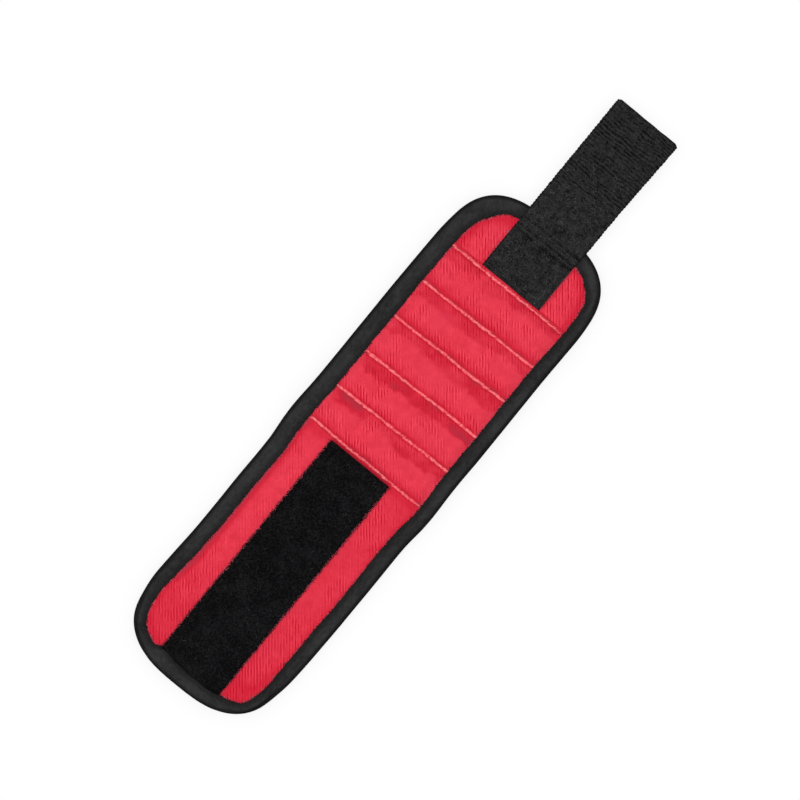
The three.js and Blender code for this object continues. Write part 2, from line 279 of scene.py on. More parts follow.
# %% Places along the band
HEM = 2.0
TAIL_END = cad_low.y / MM
STRAP_TIP = cad_high.y / MM
HEAD_END = fold_at["strap_root_fold"]
POCKET_LOW = fold_at["tail_root_fold"]
POCKET_HIGH = fold_at["head_fold"]
seam_lines = [POCKET_LOW + HEM, *(fold_at[f"seam_fold_{n}"] for n in (5, 4, 3, 2)), POCKET_HIGH - HEM]
print("seam lines at", [round(line, 2) for line in seam_lines])

# %% [markdown]
# Cloth is never quite even. A displacing modifier could roughen it, but it would do so everywhere alike.
# These helpers say for any spot how far a smooth step has come, how near a line is, and how high a soft
# random hill stands there, the same on every run. The layers' heights and shades are sums of them.

# %% Steps, bells and drift
DRIFT_TABLE = 97


def ease(share):
    """A smooth step from 0 to 1."""
    held = np.clip(share, 0, 1)
    return held * held * (3 - 2 * held)


def bell(distance, run):
    """1 on a line, faded to about a third at one run from it and to nothing at two."""
    return np.exp(-(distance / run) ** 2)


def drift(x, y, spacing, seed):
    """Soft random hills between -1 and 1, as far apart as the spacing."""
    table = np.random.default_rng(seed).uniform(-1, 1, (DRIFT_TABLE, DRIFT_TABLE))
    column, row = np.asarray(x) / spacing, np.asarray(y) / spacing
    left, below = np.floor(column).astype(int), np.floor(row).astype(int)
    across, up = ease(column - left), ease(row - below)
    right, above = (left + 1) % DRIFT_TABLE, (below + 1) % DRIFT_TABLE
    left, below = left % DRIFT_TABLE, below % DRIFT_TABLE
    low = table[left, below] * (1 - across) + table[right, below] * across
    high = table[left, above] * (1 - across) + table[right, above] * across
    return low * (1 - up) + high * up


print("drift at three spots", drift([0.0, 5.0, 10.0], [0.0, 0.0, 0.0], 9, 3).round(2))

# %% [markdown]
# The rim of the cuff in plan is drawn first as a pattern cutter would draw it: straight sides and two
# broad round ends. A chain of arcs could make the ends, but they are a little squarer than half an
# ellipse, and one formula with a power gives that fullness with a single number for each.

# %% Drawn outline
BODY_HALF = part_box("binding_right_row_3")[1].x / MM
HEAD_DEPTH = 42.9
HEAD_POWER = 3.0
HEAD_OVER = 1.0
TAIL_DEPTH = 40.5
TAIL_POWER = 2.8
TAIL_OVER = 0.4
RIM_STEP = 1.4


def round_end(end, depth, power):
    """One end of the cuff, walked anticlockwise in even steps."""
    turn = np.linspace(0, math.pi, 2001)
    outward = math.copysign(1, depth)
    x = outward * BODY_HALF * np.sign(np.cos(turn)) * np.abs(np.cos(turn)) ** (2 / power)
    y = end - depth + depth * np.sin(turn) ** (2 / power)
    run = np.concatenate([[0], np.cumsum(np.hypot(np.diff(x), np.diff(y)))])
    even = np.linspace(0, run[-1], math.ceil(run[-1] / RIM_STEP), endpoint=False)
    return np.stack([np.interp(even, run, x), np.interp(even, run, y)], 1)


def straight(start, end):
    count = max(2, math.ceil(math.dist(start, end) / RIM_STEP))
    shares = np.linspace(0, 1, count, endpoint=False)[:, None]
    return np.array(start) * (1 - shares) + np.array(end) * shares


def drawn_outline():
    head, tail = HEAD_END + HEAD_OVER, TAIL_END - TAIL_OVER
    shoulder, hip = head - HEAD_DEPTH, tail + TAIL_DEPTH
    return np.concatenate([
        straight((BODY_HALF, hip), (BODY_HALF, shoulder)),
        round_end(head, HEAD_DEPTH, HEAD_POWER),
        straight((-BODY_HALF, shoulder), (-BODY_HALF, hip)),
        round_end(tail, -TAIL_DEPTH, TAIL_POWER),
    ])


drawn = drawn_outline()
print("drawn outline of", len(drawn), "points")

# %% [markdown]
# The sewn band isn't perfect: it swells where the pocket panel ends, is drawn in above the panel and
# before the tail's round end, and its tail leans a little to the left. Pulling single points about would
# leave dents. Smooth steps and bells move all points together, so the rim stays one clean curve.

# %% Sewn outline
TAIL_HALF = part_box("binding_right_tail_2")[1].x / MM
TAIL_SPREAD = 0.2
WAIST_LOW = -20.0
WAIST_RUN = 16.0
SWELL = 0.5
SWELL_RUN = 11.0
PINCH = 0.3
PINCH_ABOVE = 10.0
PINCH_RUN = 8.0
HIP_PINCH = 0.7
HIP = 25.0
HIP_RUN = 9.0
TAIL_LEAN = -1.7
TAIL_LEAN_RUN = 75.0
HEAD_LEAN = 0.6
HEAD_LEAN_RUN = 65.0
LEAN_END = 10.0
EDGE_WANDER = 0.22
EDGE_WANDER_RUN = 17.0
HEAD_STEADY = 8.0
HEAD_STEADY_RUN = 12.0


def sewn_outline(points):
    """The drawn outline as it came out of the sewing."""
    x, y = points[:, 0].copy(), points[:, 1]
    tail = TAIL_HALF + TAIL_SPREAD
    width = tail + (BODY_HALF - tail) * ease((y - POCKET_LOW - WAIST_LOW) / WAIST_RUN)
    width += SWELL * bell(y - POCKET_LOW - HEM, SWELL_RUN)
    width -= PINCH * bell(y - POCKET_HIGH - PINCH_ABOVE, PINCH_RUN)
    width -= HIP_PINCH * bell(y - TAIL_END - HIP, HIP_RUN)
    x *= width / BODY_HALF
    x += TAIL_LEAN * ease((TAIL_END + TAIL_LEAN_RUN + LEAN_END - y) / TAIL_LEAN_RUN)
    x += HEAD_LEAN * ease((y - HEAD_END + HEAD_LEAN_RUN + LEAN_END) / HEAD_LEAN_RUN)
    free = ease((HEAD_END - HEAD_STEADY - y) / HEAD_STEADY_RUN)
    x += EDGE_WANDER * drift(x, y, EDGE_WANDER_RUN, 71) * free
    return np.stack([x, y], 1)


rim = sewn_outline(drawn)
rim_run = np.roll(rim, -1, 0) - np.roll(rim, 1, 0)
rim_run /= np.linalg.norm(rim_run, axis=1)[:, None]
rim_in = np.stack([-rim_run[:, 1], rim_run[:, 0]], 1)
rim_length = np.concatenate([[0], np.cumsum(np.linalg.norm(np.diff(rim, axis=0), axis=1))])
print("rim of", len(rim), "points,", round(rim_length[-1]), "mm long")

# %% [markdown]
# Two questions come up for every layer: how far inside the rim a spot lies, and where the layer's left
# and right edges run. Blender could search for the nearest point, but the rim has only a few hundred
# points, so the distances to all of them are quickly worked out at once.

# %% Places inside the rim
SPOTS_AT_ONCE = 2000


def rim_distance(x, y):
    """How far each spot lies inside the rim."""
    spots = np.stack([x, y], 1)
    nearest = [np.linalg.norm(part[:, None] - rim[None], axis=2).min(1)
               for part in np.array_split(spots, max(1, len(spots) // SPOTS_AT_ONCE))]
    return np.concatenate(nearest)


def side_edges(y, inset):
    """Left and right edge of a layer that ends this far inside the rim."""
    path = rim + rim_in * inset
    edges = []
    for side in (-1, 1):
        half = path[path[:, 0] * side >= 0]
        half = half[np.argsort(half[:, 1])]
        edges.append(np.interp(y, half[:, 1], half[:, 0]))
    return edges


print("the middle seam lies", rim_distance(np.zeros(1), np.array(seam_lines[2:3])).round(1), "mm inside")

# %% [markdown]
# Each layer starts as a plain grid. A cloth simulation could drape it, but seams hold this band every few
# centimetres, so its points are simply moved to their places in plan and lifted to the height of the cloth
# there, and the sheet is drawn down to its thickness. Every point remembers where it lay at rest, so that
# a weave drawn on that memory stays on the cloth when the cloth bends.

# %% Sheets from grids
def grid(columns, rows):
    bm = bmesh.new()
    bmesh.ops.create_grid(bm, x_segments=columns, y_segments=rows, size=0.5)
    return bm


def shares_of(bm):
    """How far across and along the grid each point lies, from 0 to 1."""
    place = np.array([vert.co for vert in bm.verts])
    return place[:, 0] + 0.5, place[:, 1] + 0.5


def move_to(bm, x, y, z):
    for vert, place in zip(bm.verts, np.stack([x, y, z], 1) * MM):
        vert.co = place


def thicken(bm, lower):
    """Draws the sheet down to the heights in lower, or up if those are above it, and closes its sides."""
    drawn_out = bmesh.ops.extrude_face_region(bm, geom=bm.faces[:], use_keep_orig=True)["geom"]
    lower_points = [item for item in drawn_out if isinstance(item, bmesh.types.BMVert)]
    for vert, height in zip(lower_points, lower * MM):
        vert.co.z = height
    bmesh.ops.recalc_face_normals(bm, faces=bm.faces)


def remember(bm, name, values):
    """A number for each point, which a finish can read: painted light and tone, how clear the weave is."""
    layer = bm.verts.layers.float.new(name)
    for vert, value in zip(bm.verts, values):
        vert[layer] = value


def remember_rest(bm):
    rest = bm.verts.layers.float_vector.new("rest")
    whole = bm.verts.layers.float_vector.new("whole_normal")
    bm.normal_update()
    for vert in bm.verts:
        vert[rest] = vert.co
        vert[whole] = vert.normal


trial = grid(4, 6)
print("a grid of 4 by 6 faces has", len(trial.verts), "points")
trial.free()

# %% [markdown]
# A piece is an object with one finish. An armature could bend it, but the frame already knows the joints.
# Here each piece has its place baked into its points, and the imported solids that it stands for are
# hidden.

# %% Pieces
def new_piece(name, mesh, finish):
    mesh.materials.append(finish)
    mesh.shade_smooth()
    piece = bpy.data.objects.new(name, mesh)
    bpy.context.scene.collection.objects.link(piece)
    return piece


def bend_at(piece, name):
    """Bakes the piece's place into its points; the bodies on either side of the fold line are worked out
    but not used.
    """
    joint = joints[name]
    bodies = (joint["parent"], joint["child"])
    if fold_at[name] < fold_at["seam_fold_3"]:
        bodies = bodies[::-1]
    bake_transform(piece)


def stand_for(name, layer):
    """The piece stands for its layer's solids on the fold's outer body, and on the middle one."""
    members = frame["record"]["behaviour"]["bodies"]
    bodies = [joints[name]["child"]] + (["row_3"] if name == "seam_fold_3" else [])
    nodes = [node for body in bodies for node in members[body] if node.startswith(layer)]
    if nodes:
        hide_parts(*nodes)


# %% [markdown]
# Parting a layer: a copy is cut with two planes and the cuts are closed. Shading would break at a cut,
# because a cut edge has a neighbour on one side only. So the points on a cut keep the normal that they
# had in the whole layer, and no line shows.

# %% Parting a layer at the folds
ON_CUT = 0.001
SHARP = math.radians(55)


def cut_piece(whole, name, low, high, finish):
    bm = whole.copy()
    for place, side in ((low, 1), (high, -1)):
        if math.isinf(place):
            continue
        everything = bm.verts[:] + bm.edges[:] + bm.faces[:]
        made = bmesh.ops.bisect_plane(bm, geom=everything, dist=1e-8, plane_co=(0, place * MM, 0),
                                      plane_no=(0, -side, 0), clear_outer=True)["geom_cut"]
        bmesh.ops.holes_fill(bm, edges=[g for g in made if isinstance(g, bmesh.types.BMEdge)])
    mesh = bpy.data.meshes.new(name)
    bm.to_mesh(mesh)
    bm.free()
    piece = new_piece(name, mesh, finish)
    mesh.set_sharp_from_angle(angle=SHARP)
    kept = np.zeros(3 * len(mesh.vertices))
    mesh.attributes["whole_normal"].data.foreach_get("vector", kept)
    along = np.array([vert.co.y for vert in mesh.vertices]) / MM
    on_cut = (np.abs(along - low) < ON_CUT) | (np.abs(along - high) < ON_CUT)
    normals = np.where(on_cut[:, None], kept.reshape(-1, 3), 0)
    mesh.attributes.remove(mesh.attributes["whole_normal"])
    mesh.normals_split_custom_set_from_vertices(normals.tolist())
    return piece


def part_at_folds(whole, stem, names, finish, layer):
    """Every length of a layer, tail first."""
    pieces = []
    for name, low, high in stretches(names):
        piece = cut_piece(whole, f"{stem}_{name}", low, high, finish)
        bend_at(piece, name)
        stand_for(name, layer)
        pieces.append(piece)
    whole.free()
    faces = sum(len(piece.data.polygons) for piece in pieces)
    print(stem, "in", len(pieces), "lengths,", faces, "faces")
    return pieces


# %% [markdown]
# Whoever sews the band needs each sheet's flat size. The lengths lie flat already, so their width, their
# length and the area of the faces that look up are that size. Only the areas are added up here and printed.

# %% Flat sizes
def plan_size(piece):
    low, high = np.array(piece.bound_box)[[0, 6]]
    area = sum(face.area * face.normal.z for face in piece.data.polygons if face.normal.z > 0)
    return float(high[0] - low[0]), float(high[1] - low[1]), area


def declare_cloth(pieces):
    total = 0
    for piece in pieces:
        width, length, area = plan_size(piece)
        total += area
    print("flat area", round(total / MM ** 2), "square mm")


# %% [markdown]
# The red cloth is a polyester twill: the yarns cross in steps, so fine slanting ridges run over it. To
# the eye that is a matt red with broken darker lines, a little washed out where the cloth is rubbed.
# Modelled ridges would take hundreds of thousands of points. A wave texture draws them on the cloth's
# memory of its rest place, 1.5 mm apart as in the photograph.

# %% Twill weave
TWILL_PITCH = 1.5
TWILL_ANGLE = -SLANT
WAVE_STEP = 2 * math.pi / 20
YARN_WIDTH = 1.6
YARN_RUN = 5.0
BLOTCH = 5.0
TWILL_GRAIN = 0.9


def twill_tone(tree, place):
    """How pale each spot of the twill is: slanting ridges, broken into yarns, on blotches and grain."""
    slanted = add_node(tree, "Mapping", {"Vector": place, "Rotation": (0, 0, TWILL_ANGLE)})
    ridges = add_node(tree, "TexWave", {"Vector": slanted, "Scale": WAVE_STEP / (TWILL_PITCH * MM),
                                        "Distortion": 1.6, "Detail": 2.0, "Detail Scale": 1.2}, out="Fac")
    # Yarns that lie high catch the light for a few millimetres and then dive under again.
    yarn_scale = [1 / (size * MM) for size in (YARN_WIDTH, YARN_RUN, YARN_RUN)]
    stretched = add_node(tree, "Mapping", {"Vector": slanted, "Scale": yarn_scale})
    yarns = add_node(tree, "TexNoise", {"Vector": stretched, "Scale": 1.0, "Detail": 1.0}, out="Fac")
    broken = add_node(tree, "MapRange", {"Value": yarns, "From Min": 0.4, "From Max": 0.62})
    # Where the cloth is slack the ridges part and show, where it is taut they close up.
    slack = add_node(tree, "Attribute", out="Fac", attribute_name="weave")
    clear = add_node(tree, "MapRange", {"Value": slack, "To Min": 0.12, "To Max": 2.2})
    shown = add_node(tree, "Math", {0: broken, 1: clear}, operation="MULTIPLY")
    swing = add_node(tree, "Math", {0: ridges, 1: 0.5}, operation="SUBTRACT")
    lines = add_node(tree, "Math", {0: swing, 1: shown}, operation="MULTIPLY")
    blotch = add_node(tree, "TexNoise", {"Vector": place, "Scale": 1 / (BLOTCH * MM), "Detail": 4.0,
                                         "Roughness": 0.65}, out="Fac")
    cloudy = add_node(tree, "MapRange", {"Value": blotch, "From Min": 0.25, "From Max": 0.75,
                                         "To Min": 0.35, "To Max": 0.75})
    woven = add_node(tree, "Math", {0: lines, 1: cloudy}, operation="ADD")
    grain = add_node(tree, "TexNoise", {"Vector": place, "Scale": 1 / (TWILL_GRAIN * MM), "Detail": 2.0},
                     out="Fac")
    fleck = add_node(tree, "Math", {0: grain, 1: 0.5}, operation="SUBTRACT")
    return add_node(tree, "Math", {0: fleck, 1: 0.45, 2: woven}, operation="MULTIPLY_ADD", use_clamp=True)


print("twill ridges every", TWILL_PITCH, "mm")

# %% [markdown]
# The tone picks between a deep and a pale red. Then comes what use has done, soft pale clouds, and painted
# light from a number remembered at each point: paler where the cloth stands high, a painted shade of dull
# deep red beside seams and binding, a painted shadow darker still, and a darker tone towards the tail's
# end. One could paint that on a picture, but a number remembered at each point does it without any picture.

# %% Red twill
RUBBED = 16.0
TWILL_RELIEF = 0.14


def new_finish(name, roughness, specular=0.5, metallic=0.0):
    finish = bpy.data.materials.new(name)
    finish.use_nodes = True
    shader = finish.node_tree.nodes["Principled BSDF"]
    shader.inputs["Roughness"].default_value = roughness
    shader.inputs["Specular IOR Level"].default_value = specular
    shader.inputs["Metallic"].default_value = metallic
    return finish, finish.node_tree, shader


def make_red_twill():
    finish, tree, shader = new_finish("polyester_twill", 0.85, specular=0.05)
    place = add_node(tree, "Attribute", out="Vector", attribute_name="rest")
    tone = twill_tone(tree, place)
    base = add_node(tree, "Mix", {"Factor": tone, "A": linear("#c4142c"), "B": linear("#ff4b5c")},
                    out="Result", data_type="RGBA")
    rubbed = add_node(tree, "TexNoise", {"Vector": place, "Scale": 1 / (RUBBED * MM), "Detail": 3.0},
                      out="Fac")
    wash = add_node(tree, "MapRange", {"Value": rubbed, "From Min": 0.4, "From Max": 0.75, "To Max": 0.5})
    faded = add_node(tree, "Mix", {"Factor": wash, "A": base, "B": linear("#e83f55")}, out="Result",
                     data_type="RGBA")
    # Painted light and shade: high cloth is painted pale, the dips beside the seams get a painted deep-red
    # shade.
    light_and_tone = add_node(tree, "Attribute", out="Fac", attribute_name="painted_light_and_tone")
    wear_and_shade = add_node(tree, "MapRange", {"Value": light_and_tone, "To Min": 0.4})
    deep = add_node(tree, "Mix", {"Factor": wear_and_shade, "A": linear("#c60325"), "B": faded}, out="Result",
                    data_type="RGBA")
    # Below 0 a painted shadow mixes in a dull dark red, as beside the binding on the tail's left and in the
    # seams' gutters.
    sunk_and_shaded = add_node(tree, "MapRange", {"Value": light_and_tone, "From Min": -1.0, "From Max": 0.0,
                                       "To Min": 0.75, "To Max": 0.0})
    colour = add_node(tree, "Mix", {"Factor": sunk_and_shaded, "A": deep, "B": linear("#ae3443")}, out="Result",
                      data_type="RGBA")
    bump = add_node(tree, "Bump", {"Height": tone, "Distance": TWILL_RELIEF * MM, "Strength": 0.7})
    tree.links.new(colour, shader.inputs["Base Color"])
    tree.links.new(bump, shader.inputs["Normal"])
    return finish


red_twill = make_red_twill()
print("finish", red_twill.name)

# %% [markdown]
# Strap, loop pile, lining, hooks and threads are yarn or moulded nylon, nearly all black. Each could have
# a node tree of its own, but they differ only in tone, gloss and how coarse they are. So one recipe mixes
# a dark and a pale tone by soft clouds, fine specks and a remembered painted light, paler where a yarn
# stands high and in painted shade where it dips, and gets new numbers.

# %% Yarns
CLOUD = 0.22


def make_yarn(name, dark, pale, roughness=0.8, specular=0.05, cloud=3.0, speck=0.8, relief=0.05, painted_light_and_tone=0.0):
    """Yarn with clouds and specks of this size, and specks that stand up by the relief, all in mm."""
    finish, tree, shader = new_finish(name, roughness, specular=specular)
    place = add_node(tree, "Attribute", out="Vector", attribute_name="rest")
    # The remembered number carries painted light and tone: paler on lit yarn tops, darker in their shade.
    high = add_node(tree, "Attribute", out="Fac", attribute_name="painted_light_and_tone")
    soft = add_node(tree, "TexNoise", {"Vector": place, "Scale": 1 / (cloud * MM), "Detail": 3.0,
                                       "Roughness": 0.6}, out="Fac")
    fine = add_node(tree, "TexNoise", {"Vector": place, "Scale": 1 / (speck * MM), "Detail": 2.0},
                    out="Fac")
    spots = add_node(tree, "MapRange", {"Value": fine, "From Min": 0.42, "From Max": 0.78})
    cloudy = add_node(tree, "MapRange", {"Value": soft, "From Min": 0.3, "From Max": 0.7,
                                         "To Min": -CLOUD, "To Max": CLOUD})
    both = add_node(tree, "Math", {0: spots, 1: 0.8, 2: cloudy}, operation="MULTIPLY_ADD")
    light_and_tone = add_node(tree, "Math", {0: high, 1: painted_light_and_tone, 2: both}, operation="MULTIPLY_ADD", use_clamp=True)
    colour = add_node(tree, "Mix", {"Factor": light_and_tone, "A": linear(dark), "B": linear(pale)}, out="Result",
                      data_type="RGBA")
    bump = add_node(tree, "Bump", {"Height": fine, "Distance": relief * MM, "Strength": 0.8})
    tree.links.new(colour, shader.inputs["Base Color"])
    tree.links.new(bump, shader.inputs["Normal"])
    return finish


print("clouds shift the tone by", CLOUD)

# %% [markdown]
# The finishes that the recipe makes: above each stands what the material is and what that gives the eye.

# %% Yarn finishes
# Brushed loops swallow the light: the blackest cloth of the band. Single loops on it catch a little.
loop_pile = make_yarn("brushed_nylon_loops", "#0b0a0b", "#282627", 0.95, 0.02, cloud=9.0, relief=0.4)
loop_fibre = make_yarn("nylon_loop_fibre", "#121112", "#3a3738")
pulled_loop = make_yarn("pulled_nylon_loop", "#262626", "#5a5858")
# Webbing gets painted light, pale on its ribs and black shade between, and fibres pulled out of it are
# dusty grey.
webbing = make_yarn("ribbed_nylon_webbing", "#0a0a0a", "#393838", specular=0.03, relief=0.12, painted_light_and_tone=0.6)
webbing_fibre = make_yarn("brushed_nylon_fibre", "#363636", "#808080")
# Air mesh is knitted of dull yarn.
air_mesh = make_yarn("polyester_air_mesh", "#141415", "#2a2a2c", 0.9, cloud=5.0, speck=1.0, relief=0.1)
# Sewing thread is twisted tight, so it has a faint gloss.
black_thread = make_yarn("black_polyester_thread", "#1c1c1c", "#404040", 0.6, cloud=2.0, speck=0.4,
                         relief=0.03)
strap_thread = make_yarn("grey_polyester_thread", "#242424", "#4a4a4a", 0.6, cloud=2.0, speck=0.6,
                         relief=0.03)
# Cut ends of the red yarn look paler than the cloth, because light shines through them.
frayed_yarn = make_yarn("frayed_polyester_yarn", "#d2566a", "#ee929c", relief=0.02)
# Hooks come from a mould: smooth, with small highlights.
moulded_hook = make_yarn("moulded_nylon_hooks", "#131314", "#2a2a2c", 0.45, 0.4, cloud=4.0, speck=1.0,
                         relief=0.02)
print("finishes", len(bpy.data.materials))

# %% [markdown]
# The binding is a smooth polyester tape with fine cross ribs, charcoal rather than black, dusty in
# patches. It runs all round the band, so ribs drawn on a fixed place would cross it at every angle. Each
# of its points remembers how far along the tape it lies instead, and the ribs follow that.

# %% Binding tape
RIB_PITCH = 0.9
WEAR = 2.5
DUST = 14.0
TAPE_RELIEF = 0.08


def make_binding_tape():
    finish, tree, shader = new_finish("polyester_binding_tape", 0.75, specular=0.06)
    along = add_node(tree, "Attribute", out="Vector", attribute_name="along")
    ribs = add_node(tree, "TexWave", {"Vector": along, "Scale": WAVE_STEP / (RIB_PITCH * MM),
                                      "Distortion": 1.2, "Detail": 2.0, "Detail Scale": 2.0}, out="Fac")
    wear_and_shade = add_node(tree, "TexNoise", {"Vector": along, "Scale": 1 / (WEAR * MM), "Detail": 4.0,
                                       "Roughness": 0.7}, out="Fac")
    patchy = add_node(tree, "MapRange", {"Value": wear_and_shade, "From Min": 0.32, "From Max": 0.68, "To Min": 0.2,
                                         "To Max": 0.8})
    faint = add_node(tree, "TexNoise", {"Vector": along, "Scale": 1 / (DUST * MM), "Detail": 2.0},
                     out="Fac")
    dusty = add_node(tree, "MapRange", {"Value": faint, "From Min": 0.3, "From Max": 0.7, "To Min": -0.22,
                                        "To Max": 0.22})
    uneven = add_node(tree, "Math", {0: patchy, 1: dusty}, operation="ADD")
    mixed = add_node(tree, "Math", {0: ribs, 1: 0.3, 2: uneven}, operation="MULTIPLY_ADD", use_clamp=True)
    # y runs in from the rim and z out from the tape's sewn edge: both edges lie in their own shade.
    from_rim = add_node(tree, "SeparateXYZ", {"Vector": along}, out="Y")
    from_seam = add_node(tree, "SeparateXYZ", {"Vector": along}, out="Z")
    rim_side = add_node(tree, "MapRange", {"Value": from_rim, "From Min": 0.5 * MM, "From Max": 2.6 * MM,
                                           "To Min": -0.3, "To Max": 1.0})
    sewn_side = add_node(tree, "MapRange", {"Value": from_seam, "From Min": 0.6 * MM,
                                            "From Max": 3.5 * MM, "To Min": 0.35, "To Max": 1.0})
    sides = add_node(tree, "Math", {0: rim_side, 1: sewn_side}, operation="MULTIPLY", use_clamp=True)
    toned = add_node(tree, "Math", {0: mixed, 1: sides}, operation="MULTIPLY")
    colour = add_node(tree, "Mix", {"Factor": toned, "A": linear("#111111"), "B": linear("#353434")},
                      out="Result", data_type="RGBA")
    bump = add_node(tree, "Bump", {"Height": mixed, "Distance": TAPE_RELIEF * MM, "Strength": 0.6})
    tree.links.new(colour, shader.inputs["Base Color"])
    tree.links.new(bump, shader.inputs["Normal"])
    return finish


binding_tape = make_binding_tape()
print("finish", binding_tape.name, "with a rib every", RIB_PITCH, "mm")

# %% [markdown]
# The pocket seams are sewn with a thick coral thread that stands out on the red. It gets a painted
# highlight where a stitch arches up and a painted shade where it dips into the cloth. Soft noise about as
# long as a stitch gives that change, which a plain colour would lose.

# %% Seam thread
PLY_RUN = 1.5
PLY_RELIEF = 0.05


def make_seam_thread():
    finish, tree, shader = new_finish("coral_polyester_thread", 0.6, specular=0.3)
    place = add_node(tree, "Attribute", out="Vector", attribute_name="rest")
    ply = add_node(tree, "TexNoise", {"Vector": place, "Scale": 1 / (PLY_RUN * MM), "Detail": 2.0},
                   out="Fac")
    # The noise paints a highlight on some stretches of the thread and a shade on others.
    painted_stitch_light = add_node(tree, "MapRange", {"Value": ply, "From Min": 0.34, "From Max": 0.64})
    colour = add_node(tree, "Mix", {"Factor": painted_stitch_light, "A": linear("#e23e4c"), "B": linear("#ff7a7e")},
                      out="Result", data_type="RGBA")
    bump = add_node(tree, "Bump", {"Height": ply, "Distance": PLY_RELIEF * MM, "Strength": 0.5})
    tree.links.new(colour, shader.inputs["Base Color"])
    tree.links.new(bump, shader.inputs["Normal"])
    return finish


seam_thread = make_seam_thread()
print("finish", seam_thread.name)

# %% [markdown]
# The shell is one sheet of red twill from tail to head, held at the rim by the binding. It shows beside
# the loop strip and beside the strap's root. Where its shade falls could be painted by hand. Here it
# follows
# from what lies near: cloth beside the binding, the strip and the strap gets a painted shade, with a
# painted shadow below the pocket hem and along the binding on the tail's left. The colour is also darker
# towards the tail's end and on the right.

# %% Painted shade of the shell
LOOP_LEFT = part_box("loop_tape_2")[0].x / MM - 0.1
LOOP_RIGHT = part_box("loop_tape_2")[1].x / MM - 0.4
STRAP_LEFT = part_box("strap_2")[0].x / MM
STRAP_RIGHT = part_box("strap_2")[1].x / MM
FAR = 99
# The binding's width beside the shell, and for each painted shade how deep it is and over how many mm it
# fades.
TAPE_ON_TAIL = 9.6
TAPE_ON_HEAD_LEFT = 11.0
TAPE_ON_HEAD_RIGHT = 8.0
STRIP_SHADE, STRIP_FADE = 0.7, 0.7
HEM_SHADE, HEM_FADE = 0.6, 3.0
HEAD_TAPE_SHADE, HEAD_TAPE_FADE = 1.1, 3.5
TAIL_TAPE_SHADE, TAIL_TAPE_FADE = 0.5, 1.0
LEFT_TAPE_SHADE, LEFT_TAPE_FADE = 1.6, 2.8
# Where along the tail the painted shadow on the left and the darkening towards the end begin and how long
# they take to come, in mm from the tail's end.
LEFT_TAPE_FROM, LEFT_TAPE_RUN = 30.0, 25.0
END_SHADE, END_SHADE_FROM, END_SHADE_RUN = 0.45, 85.0, 60.0
RIGHT_HEAD_SHADE = 0.06
RIGHT_TAIL_SHADE = 0.28
SHADE_PATCHES = 0.6
SHADE_PATCH = 13.0
SHELL_PALE = 0.95


def shell_painted_light_and_tone(x, y):
    """How light the shell's colour is: 1 is pale, 0 in deep painted shade and -1 in full painted shadow."""
    head = y > POCKET_HIGH
    left, right = np.where(head, STRAP_LEFT, LOOP_LEFT), np.where(head, STRAP_RIGHT, LOOP_RIGHT)
    beside = np.clip(np.maximum(left - x, x - right), 0, FAR)
    hem = np.where(head, FAR, POCKET_LOW - y)
    tape = np.where(head, np.where(x > 0, TAPE_ON_HEAD_RIGHT, TAPE_ON_HEAD_LEFT), TAPE_ON_TAIL)
    from_tape = np.clip(rim_distance(x, y) - tape, 0, FAR)
    # Painted shade beside the strip, the strap and the binding, and a painted shadow below the pocket hem.
    shade = STRIP_SHADE * np.exp(-beside / STRIP_FADE) + HEM_SHADE * bell(hem, HEM_FADE)
    shade += np.where(head, HEAD_TAPE_SHADE * bell(from_tape, HEAD_TAPE_FADE),
                      TAIL_TAPE_SHADE * np.exp(-from_tape / TAIL_TAPE_FADE))
    # Darker in patches towards the tail's end and on the right.
    end_and_right_darkening = END_SHADE * ease((TAIL_END + END_SHADE_FROM - y) / END_SHADE_RUN)
    end_and_right_darkening = end_and_right_darkening + np.where(head, RIGHT_HEAD_SHADE, RIGHT_TAIL_SHADE) * (x > 0)
    shade += end_and_right_darkening * (1 + SHADE_PATCHES * drift(x, y, SHADE_PATCH, 28))
    # A painted shadow along the binding on the tail's left.
    left_tail = (x < 0) * ~head * ease((y - TAIL_END - LEFT_TAPE_FROM) / LEFT_TAPE_RUN)
    shadow = LEFT_TAPE_SHADE * left_tail * bell(from_tape, LEFT_TAPE_FADE)
    return np.clip(np.clip(SHELL_PALE - shade, 0, 1) - shadow, -1, 1)


print("loop strip from", round(LOOP_LEFT, 1), "to", round(LOOP_RIGHT, 1), "mm")

# %% [markdown]
# The sheet itself is a grid that ends a little inside the rim. It lies nearly flat, a little loose away
# from the binding. Its ridges are clearest at the tail's end, where nothing draws the cloth tight, and
# that too is a number which every point remembers.

# %% Red shell
SHELL_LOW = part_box("shell_head")[0].z / MM
SHELL_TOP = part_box("shell_head")[1].z / MM
SHELL_INSET = 2.5
SHELL_WAVE = 0.16
LOOSE_FROM, LOOSE_RUN = 8.0, 6.0
# How clear the ridges are at least, in patches, at the tail's end, on the head and on the right.
WEAVE_LEAST = 0.05
WEAVE_PATCHES, WEAVE_PATCH = 0.45, 11.0
WEAVE_AT_END, WEAVE_END_FROM, WEAVE_END_RUN = 0.85, 75.0, 60.0
WEAVE_ON_HEAD = 0.65
WEAVE_RIGHT = 0.3


def shell_weave(x, y):
    at_end = ease((TAIL_END + WEAVE_END_FROM - y) / WEAVE_END_RUN) + WEAVE_ON_HEAD * (y > POCKET_HIGH)
    patches = WEAVE_PATCHES * drift(x, y, WEAVE_PATCH, 26)
    slack = WEAVE_LEAST + patches + WEAVE_AT_END * at_end + WEAVE_RIGHT * (x > 0)
    return np.clip(slack, 0, 1)


